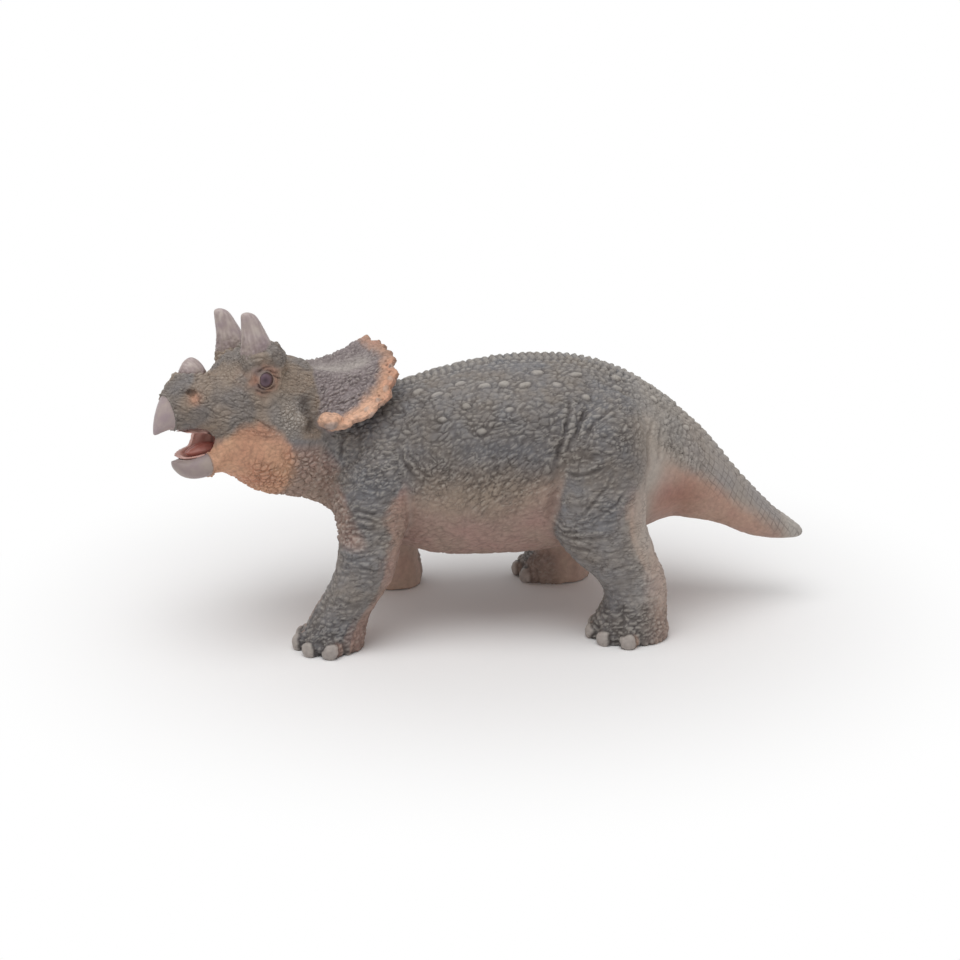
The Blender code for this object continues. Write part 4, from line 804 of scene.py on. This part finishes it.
creases = add(tree, "ShaderNodeMath", {0: creases, 1: rows}, operation="MAXIMUM").outputs[0]
dots = add(tree, "ShaderNodeTexVoronoi", {"Vector": bent_place, "Scale": 1 / 0.0006}).outputs["Distance"]
dots = add(tree, "ShaderNodeMapRange", {"Value": dots, "From Min": 0.45, "From Max": 0.75}).outputs["Result"]
dots = add(tree, "ShaderNodeMath", {0: dots, 1: line[2]}, operation="MULTIPLY").outputs[0]
creases = add(tree, "ShaderNodeMath", {0: creases, 1: dots}, operation="MAXIMUM").outputs[0]
blotch = add(tree, "ShaderNodeTexNoise", {"Vector": place, "Scale": 1 / 0.007, "Detail": 4.0, "Roughness": 0.6}).outputs["Fac"]
blotch = add(tree, "ShaderNodeMapRange", {"Value": blotch, "From Min": 0.35, "From Max": 0.65}).outputs["Result"]
dust = add(tree, "ShaderNodeTexNoise", {"Vector": place, "Scale": 1 / 0.0009, "Detail": 4.0, "Roughness": 0.65}).outputs["Fac"]
grey = mixed(tree, blotch, linear("#78787c"), linear("#867e77"))
pink = mixed(tree, blotch, linear("#a27e76"), linear("#9b8378"))
orange = mixed(tree, blotch, linear("#cd957a"), linear("#d6a98a"))
orange = mixed(tree, tones.outputs["Alpha"], orange, linear("#ecb897"))
colour = mixed(tree, coat[0], grey, pink)
colour = mixed(tree, lines.outputs["Alpha"], colour, linear("#a8937f"))
colour = mixed(tree, tones.outputs["Alpha"], colour, linear("#968a8b"))
colour = mixed(tree, coat[1], colour, orange)
colour = mixed(tree, coat[2], colour, linear("#b9b2ab"))
colour = mixed(tree, scaled(tree, tone[2], 0.8), colour, linear("#c2b8b1"))
colour = mixed(tree, coats.outputs["Alpha"], colour, linear("#8a4f48"))
# Dark wash colour over creases and hollows: dark paint and painted shade.
colour = mixed(tree, scaled(tree, tone[0], 0.72), colour, linear("#3f3734"))
# Hair-fine creases, tail plate rows and stipple dots darkened: partly dark paint, partly painted shade in creases too
# fine for the mesh.
colour = mixed(tree, scaled(tree, creases, 0.42), colour, linear("#4a403c"))
# Dry brush over raised upward-facing tops: light paint and painted highlight.
colour = mixed(tree, scaled(tree, tone[1], 0.42), colour, linear("#bab4ab"))
speck = add(tree, "ShaderNodeMapRange", {"Value": dust, "From Min": 0.3, "From Max": 0.7, "To Min": 0.86, "To Max": 1.1}).outputs["Result"]
colour = add(tree, "ShaderNodeVectorMath", {0: colour, "Scale": speck}, operation="SCALE").outputs["Vector"]
tree.links.new(colour, shader.inputs["Base Color"])
sheen = add(tree, "ShaderNodeMapRange", {"Value": blotch, "To Min": 0.5, "To Max": 0.66}).outputs["Result"]
tree.links.new(sheen, shader.inputs["Roughness"])
shader.inputs["Specular IOR Level"].default_value = 0.4
height = add(tree, "ShaderNodeMath", {0: dust, 1: creases}, operation="SUBTRACT").outputs[0]
bump = add(tree, "ShaderNodeBump", {"Height": height, "Strength": 0.6, "Distance": 0.0001}).outputs["Normal"]
tree.links.new(bump, shader.inputs["Normal"])

votes = np.stack([skin.soft(on[name], 3) for name in CASTINGS])
sizes = np.empty(len(master.data.polygons), int)
master.data.polygons.foreach_get("loop_total", sizes)
starts = np.concatenate(([0], sizes.cumsum()[:-1]))
corner_vertices = np.empty(sizes.sum(), int)
master.data.loops.foreach_get("vertex_index", corner_vertices)
face_owner = np.add.reduceat(votes[:, corner_vertices], starts, axis=1).argmax(0)
edge_of_corner = np.empty(sizes.sum(), int)
master.data.loops.foreach_get("edge_index", edge_of_corner)
face_of_corner = np.repeat(np.arange(len(sizes)), sizes)[np.argsort(edge_of_corner, kind="stable")]
first_face, second_face = face_of_corner.reshape(-1, 2).T
island = np.arange(len(sizes))
while True:
    alike = face_owner[first_face] == face_owner[second_face]
    lowest = np.minimum(island[first_face], island[second_face])
    before = island.copy()
    np.minimum.at(island, first_face[alike], lowest[alike])
    np.minimum.at(island, second_face[alike], lowest[alike])
    island = island[island]
    if (island == before).all():
        break
island_size = np.bincount(island, minlength=len(sizes))
stray = np.zeros(len(sizes), bool)
for number in range(len(CASTINGS)):
    mine = face_owner == number
    stray |= mine & (island_size[island] < island_size[island[mine]].max())
while stray.any():
    for one, other in ((first_face, second_face), (second_face, first_face)):
        mended = stray[one] & ~stray[other]
        face_owner[one[mended]] = face_owner[other[mended]]
        stray[one[mended]] = False
coat_values = np.stack((belly, warm, pale, red), axis=1)
# The tones hold the dark wash with its painted shade, the dry brush with its painted highlight, the nails and the
# mauve.
tone_values = np.stack((wash_and_shade, brush_and_highlight, nail, mauve), axis=1)
hatched = np.clip(flank + upper * body * 0.6 + under * body * 0.3 + in_leg * fore * 0.6 * step(24, 30, P[:, 2]), 0, 1) * (1 - nail)
level_lines = np.clip(limb * (1 - 0.6 * leg_inner) + 0.5 * hip + 0.7 * foot + 0.7 * face * (1 - in_jaw), 0, 1) * (1 - nail) * (1 - lid_share * 0.6)
stippled = np.clip(0.5 * face * in_jaw + in_frill * 0.6 + foot * 0.5 + in_tail * 0.2 + under * 0.3, 0, 1) * (1 - nail)
line_values = np.stack((hatched, level_lines, stippled, olive), axis=1)
plates = np.stack((ring_count + 100, around + 100, plated * (1 - nail)), axis=1)
LIP = 0.8


deep = N2.copy()
for _ in range(8):
    deep = skin.spread(deep)


def cast(name, node):
    """Cuts one casting out of the master, turns its edges inwards and closes them."""
    chosen = np.flatnonzero(face_owner == CASTINGS.index(node))
    lists = [corner_vertices[starts[face]:starts[face] + sizes[face]] for face in chosen]
    used, numbers = np.unique(np.concatenate(lists), return_inverse=True)
    cuts = np.cumsum([len(face) for face in lists])[:-1]
    mesh = bpy.data.meshes.new(name)
    mesh.from_pydata((P[used] * MM).tolist(), [], [face.tolist() for face in np.split(numbers, cuts)])
    shape = bmesh.new()
    shape.from_mesh(mesh)
    source = shape.verts.layers.int.new("source")
    for vertex in shape.verts:
        vertex[source] = vertex.index
    rim_edges = [edge for edge in shape.edges if edge.is_boundary]
    lip = bmesh.ops.extrude_edge_only(shape, edges=rim_edges)["geom"]
    for vertex in lip:
        if isinstance(vertex, bmesh.types.BMVert):
            vertex.co -= Vector(deep[used[vertex[source]]]) * LIP * MM
    bmesh.ops.holes_fill(shape, edges=[edge for edge in shape.edges if edge.is_boundary], sides=0)
    order = [vertex[source] for vertex in shape.verts]
    shape.verts.layers.int.remove(source)
    shape.to_mesh(mesh)
    shape.free()
    values = used[order]
    for layer_name, masks in (("coats", coat_values), ("tones", tone_values), ("lines", line_values)):
        layer = mesh.attributes.new(layer_name, "FLOAT_COLOR", "POINT")
        layer.data.foreach_set("color", np.clip(masks[values], 0, 1).astype(np.float32).ravel())
    layer = mesh.attributes.new("plates", "FLOAT_VECTOR", "POINT")
    layer.data.foreach_set("vector", plates[values].astype(np.float32).ravel())
    facing = N2[values]
    facing[len(used):] = 0
    mesh.shade_smooth()
    mesh.normals_split_custom_set_from_vertices(facing.tolist())
    item = bpy.data.objects.new(name, mesh)
    bpy.context.scene.collection.objects.link(item)
    item.data.materials.append(painted_vinyl)
    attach(item, "root")
    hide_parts(node)
    return item


for node in CASTINGS[:7]:
    cast(f"{node}_casting", node)
cast("frill_casting", "frill")
cast("jaw_casting", "lower_jaw")
beaks = [cast("upper_beak_sheath", "upper_beak"), cast("lower_beak_sheath", "lower_beak")]
bpy.data.objects.remove(master)

# The horns and beaks
# The two brow horns, the nose horn and the two halves of the beak are separate castings in a paler vinyl. The
# horns are streaked along their length and darkened at the root, the beaks are worn smooth.
HORN_GRAIN = 0.15
HORNS = (
    ("brow_horn_left", (-11.63, -4.96, 14.6), 6.6), ("brow_horn_right", (-11.63, 4.96, 14.6), 6.6),
    ("nose_horn", (-21.57, 0.0, 10.28), 2.7),
)
horn_vinyl, tree, shader = material("Matt vinyl horn")
place = add(tree, "ShaderNodeTexCoord").outputs["Object"]
tones = add(tree, "ShaderNodeAttribute", attribute_name="tones")
tone = add(tree, "ShaderNodeSeparateColor", {0: tones.outputs["Color"]}).outputs
blotch = add(tree, "ShaderNodeTexNoise", {"Vector": place, "Scale": 1 / 0.003, "Detail": 4.0, "Roughness": 0.65}).outputs["Fac"]
blotch = add(tree, "ShaderNodeMapRange", {"Value": blotch, "From Min": 0.35, "From Max": 0.65}).outputs["Result"]
colour = mixed(tree, blotch, linear("#a8979a"), linear("#bcaea6"))
colour = mixed(tree, scaled(tree, tone[0], 0.6), colour, linear("#6a5855"))
colour = mixed(tree, scaled(tree, tone[1], 0.3), colour, linear("#cfc5bd"))
tree.links.new(colour, shader.inputs["Base Color"])
sheen = add(tree, "ShaderNodeMapRange", {"Value": blotch, "To Min": 0.4, "To Max": 0.55}).outputs["Result"]
tree.links.new(sheen, shader.inputs["Roughness"])
shader.inputs["Specular IOR Level"].default_value = 0.45
grain = add(tree, "ShaderNodeTexNoise", {"Vector": place, "Scale": 1 / 0.0003, "Detail": 2.0}).outputs["Fac"]
bump = add(tree, "ShaderNodeBump", {"Height": grain, "Strength": 0.25, "Distance": 0.00005}).outputs["Normal"]
tree.links.new(bump, shader.inputs["Normal"])
for beak in beaks:
    beak.data.materials.clear()
    beak.data.materials.append(horn_vinyl)


def fine_copy(node, name, grain, turns):
    """A smooth, fine-meshed copy of a small casting's plain form."""
    item = welded(node)
    item.name = name
    apply(item, "REMESH", mode="VOXEL", voxel_size=grain * MM)
    form = Skin(item)
    form.relax(turns)
    put_points(item, form.places)
    return item, form.places, normals_of(item)


def tint(item, name, *values):
    """Stores up to four masks with the mesh."""
    layer = item.data.attributes.new(name, "FLOAT_COLOR", "POINT")
    filled = np.zeros((len(item.data.vertices), 4), np.float32)
    for index, value in enumerate(values):
        filled[:, index] = np.clip(value, 0, 1)
    layer.data.foreach_set("color", filled.ravel())


def finish_piece(item, surface, node):
    only(item)
    bpy.ops.object.shade_smooth()
    item.data.materials.append(surface)
    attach(item, "root")
    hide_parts(node)


for node, seat, height in HORNS:
    horn, places, facing = fine_copy(node, f"{node}_casting", HORN_GRAIN, 10)
    local = to_head(places) - np.array(seat)
    rise = local[:, 2] / height
    lengthwise = local.copy()
    lengthwise[:, 0] += rise * 2.5
    lengthwise[:, 2] *= 0.16
    streak = ripple(lengthwise + ripples(local, 1.6) * 0.12, 0.42)
    bumps = np.array([noise.voronoi(point)[0][0] for point in (local / 0.62).tolist()])
    root = step(0.42, 0.08, rise + 0.1 * ripple(local, 1.2))
    put_points(horn, places + facing * (0.08 * streak * step(1.0, 0.7, rise) + root * (0.12 - 0.2 * bumps))[:, None])
    tint(horn, "tones", root * (0.25 + 0.7 * bumps) + step(0.1, -0.4, streak) * 0.28, step(0.05, 0.4, streak) * (1 - root))
    finish_piece(horn, horn_vinyl, node)

# The eyes
# Small balls pressed in behind the lids, painted purple-brown with a slightly darker middle under a thin
# satin varnish.
eye_gloss, tree, shader = material("Painted eye under satin varnish")
gaze = add(tree, "ShaderNodeAttribute", attribute_name="gaze").outputs["Fac"]
place = add(tree, "ShaderNodeTexCoord").outputs["Object"]
spokes = add(tree, "ShaderNodeTexNoise", {"Vector": place, "Scale": 1 / 0.0004, "Detail": 3.0}).outputs["Fac"]
iris = mixed(tree, spokes, linear("#624a4c"), linear("#6b5a6a"))
pupil = add(tree, "ShaderNodeMapRange", {"Value": gaze, "From Min": 0.06, "From Max": 0.3}).outputs["Result"]
colour = mixed(tree, pupil, linear("#46363f"), iris)
edge = add(tree, "ShaderNodeMapRange", {"Value": gaze, "From Min": 0.4, "From Max": 0.55}).outputs["Result"]
colour = mixed(tree, edge, colour, linear("#55403f"))
tree.links.new(colour, shader.inputs["Base Color"])
shader.inputs["Roughness"].default_value = 0.45
shader.inputs["Specular IOR Level"].default_value = 0.25
shader.inputs["Coat Weight"].default_value = 0.12
shader.inputs["Coat Roughness"].default_value = 0.15
for node, side in (("eye_left", -1), ("eye_right", 1)):
    bpy.ops.object.select_all(action="DESELECT")
    bpy.ops.mesh.primitive_uv_sphere_add(segments=56, ring_count=36, radius=EYE_RADIUS * MM)
    eye = bpy.context.object
    eye.name = f"{node}_ball"
    places = points_of(eye) / EYE_RADIUS
    angle = np.arccos(np.clip(places[:, 2], -1, 1)) / math.radians(75)
    places *= EYE_RADIUS
    way = HEAD_TURN @ Vector((-0.22, side, 0.02)).normalized()
    turn = np.array(way.to_track_quat("Z", "Y").to_matrix())
    put_points(eye, places @ turn.T + np.array(from_head((eye_x, side * eye_y, eye_z))))
    layer = eye.data.attributes.new("gaze", "FLOAT", "POINT")
    layer.data.foreach_set("value", np.clip(angle, 0, 1).astype(np.float32))
    finish_piece(eye, eye_gloss, node)

# The mouth and tongue
# A thin cup of red vinyl lines the open jaws, ridged across its roof, and the tongue lies glued on its floor.
mouth_vinyl, tree, shader = material("Satin red vinyl")
place = add(tree, "ShaderNodeTexCoord").outputs["Object"]
blotch = add(tree, "ShaderNodeTexNoise", {"Vector": place, "Scale": 1 / 0.002, "Detail": 3.0}).outputs["Fac"]
# The lining is drawn far paler than its red vinyl: painted light standing in for light that reaches into the shaded
# mouth.
colour = mixed(tree, blotch, linear("#e8b9ae"), linear("#efc8bd"))
tree.links.new(colour, shader.inputs["Base Color"])
shader.inputs["Roughness"].default_value = 0.35
lining, places, facing = fine_copy("mouth_lining", "mouth_cup", 0.16, 6)
local = to_head(places)
forward = np.interp(local[:, 1], (-3.0, -1.0, 1.0, 3.0), (1.5, 0.2, -0.8, -1.4)) * step(-15.5, -18.5, local[:, 0])
forward -= 0.9 * step(0.5, 2.5, local[:, 1]) * step(-1.5, -4.0, local[:, 2]) * step(-14.5, -17.5, local[:, 0])
forward -= 0.35 * np.clip(local[:, 0] + 17.5, 0, None)
reach_out = np.stack((forward, 0.08 * local[:, 1], np.zeros(len(local))), axis=1) - (facing @ np.array(HEAD_TURN)) * 0.1
places = places + reach_out @ np.array(HEAD_TURN).T
put_points(lining, places + facing * (0.09 * np.sin(local[:, 0] * 4.2) * step(-2.6, -1.4, local[:, 2]) * step(4, 2.5, np.abs(local[:, 1])))[:, None])
finish_piece(lining, mouth_vinyl, "mouth_lining")
tongue_vinyl, tree, shader = material("Satin pink vinyl")
place = add(tree, "ShaderNodeTexCoord").outputs["Object"]
blotch = add(tree, "ShaderNodeTexNoise", {"Vector": place, "Scale": 1 / 0.0015, "Detail": 3.0}).outputs["Fac"]
colour = mixed(tree, blotch, linear("#a8655c"), linear("#c08478"))
tree.links.new(colour, shader.inputs["Base Color"])
shader.inputs["Roughness"].default_value = 0.35
grain = add(tree, "ShaderNodeTexNoise", {"Vector": place, "Scale": 1 / 0.0003, "Detail": 2.0}).outputs["Fac"]
bump = add(tree, "ShaderNodeBump", {"Height": grain, "Strength": 0.4, "Distance": 0.00006}).outputs["Normal"]
tree.links.new(bump, shader.inputs["Normal"])
tongue, places, facing = fine_copy("tongue", "tongue_casting", 0.14, 8)
local = to_head(places)
put_points(tongue, places - facing * (0.22 * np.exp(-((local[:, 1] / 0.35) ** 2)) * step(0.1, 0.6, facing[:, 2]))[:, None])
finish_piece(tongue, tongue_vinyl, "tongue")

# The floor, light and camera
# A sheet of matt white paper, lit evenly from a large overhead lamp and the pale room round it. Far from the
# figure the paper runs into a plain white ground.
bpy.ops.object.select_all(action="DESELECT")
bpy.ops.mesh.primitive_plane_add(size=6)
floor = bpy.context.object
floor.name = "floor"
paper, tree, shader = material("Matt white paper")
shader.inputs["Base Color"].default_value = (0.95, 0.945, 0.945, 1)
shader.inputs["Roughness"].default_value = 0.9
shader.inputs["Specular IOR Level"].default_value = 0.1
place = add(tree, "ShaderNodeTexCoord").outputs["Object"]
reach = add(tree, "ShaderNodeVectorMath", {0: place}, operation="LENGTH").outputs["Value"]
far = add(tree, "ShaderNodeMapRange", {"Value": reach, "From Min": 0.035, "From Max": 0.1}, interpolation_type="SMOOTHSTEP")
rays = add(tree, "ShaderNodeLightPath").outputs
seen = add(tree, "ShaderNodeMath", {0: rays["Is Camera Ray"], 1: rays["Is Glossy Ray"]}, operation="MAXIMUM").outputs[0]
seen = add(tree, "ShaderNodeMath", {0: seen, 1: rays["Is Transmission Ray"]}, operation="MAXIMUM").outputs[0]
share = add(tree, "ShaderNodeMath", {0: far.outputs["Result"], 1: seen}, operation="MULTIPLY").outputs[0]
white = add(tree, "ShaderNodeEmission", {"Color": (1, 1, 1, 1), "Strength": 1.0}).outputs[0]
surface = add(tree, "ShaderNodeMixShader", {0: share, 1: shader.outputs[0], 2: white}).outputs[0]
tree.links.new(surface, tree.nodes["Material Output"].inputs["Surface"])
floor.data.materials.append(paper)
world = bpy.data.worlds.new("soft studio")
bpy.context.scene.world = world
world.use_nodes = True
world.node_tree.nodes["Background"].inputs["Color"].default_value = (1, 0.99, 0.985, 1)
world.node_tree.nodes["Background"].inputs["Strength"].default_value = 0.48
rays = add(world.node_tree, "ShaderNodeLightPath").outputs
seen = add(world.node_tree, "ShaderNodeMath", {0: rays["Is Camera Ray"], 1: rays["Is Glossy Ray"]}, operation="MAXIMUM").outputs[0]
seen = add(world.node_tree, "ShaderNodeMath", {0: seen, 1: rays["Is Transmission Ray"]}, operation="MAXIMUM").outputs[0]
white = add(world.node_tree, "ShaderNodeBackground", {"Color": (1, 1, 1, 1), "Strength": 1.0}).outputs[0]
room = world.node_tree.nodes["Background"].outputs[0]
ground = add(world.node_tree, "ShaderNodeMixShader", {0: seen, 1: room, 2: white}).outputs[0]
world.node_tree.links.new(ground, world.node_tree.nodes["World Output"].inputs["Surface"])
lamp = bpy.data.lights.new("overhead softbox", "AREA")
lamp.shape = "DISK"
lamp.size = 0.5
lamp.energy = 1.64
above = bpy.data.objects.new("overhead softbox", lamp)
above.location = (-0.1, -0.12, 0.55)
above.rotation_euler = (Vector((0, 0, 0.02)) - above.location).to_track_quat("-Z", "Y").to_euler()
bpy.context.scene.collection.objects.link(above)

azimuth, elevation, distance = math.radians(-6), math.radians(18), 0.43
target = Vector((-0.0012, 0, 0.025))
back = Vector((math.sin(azimuth) * math.cos(elevation), -math.cos(azimuth) * math.cos(elevation), math.sin(elevation)))
lens = bpy.data.cameras.new("camera")
lens.sensor_width = 36
lens.lens = 87.9
camera = bpy.data.objects.new("camera", lens)
camera.location = target + back * distance
camera.rotation_euler = back.to_track_quat("Z", "Y").to_euler()
bpy.context.scene.collection.objects.link(camera)
bpy.context.scene.camera = camera
bpy.context.scene.view_settings.view_transform = "Standard"
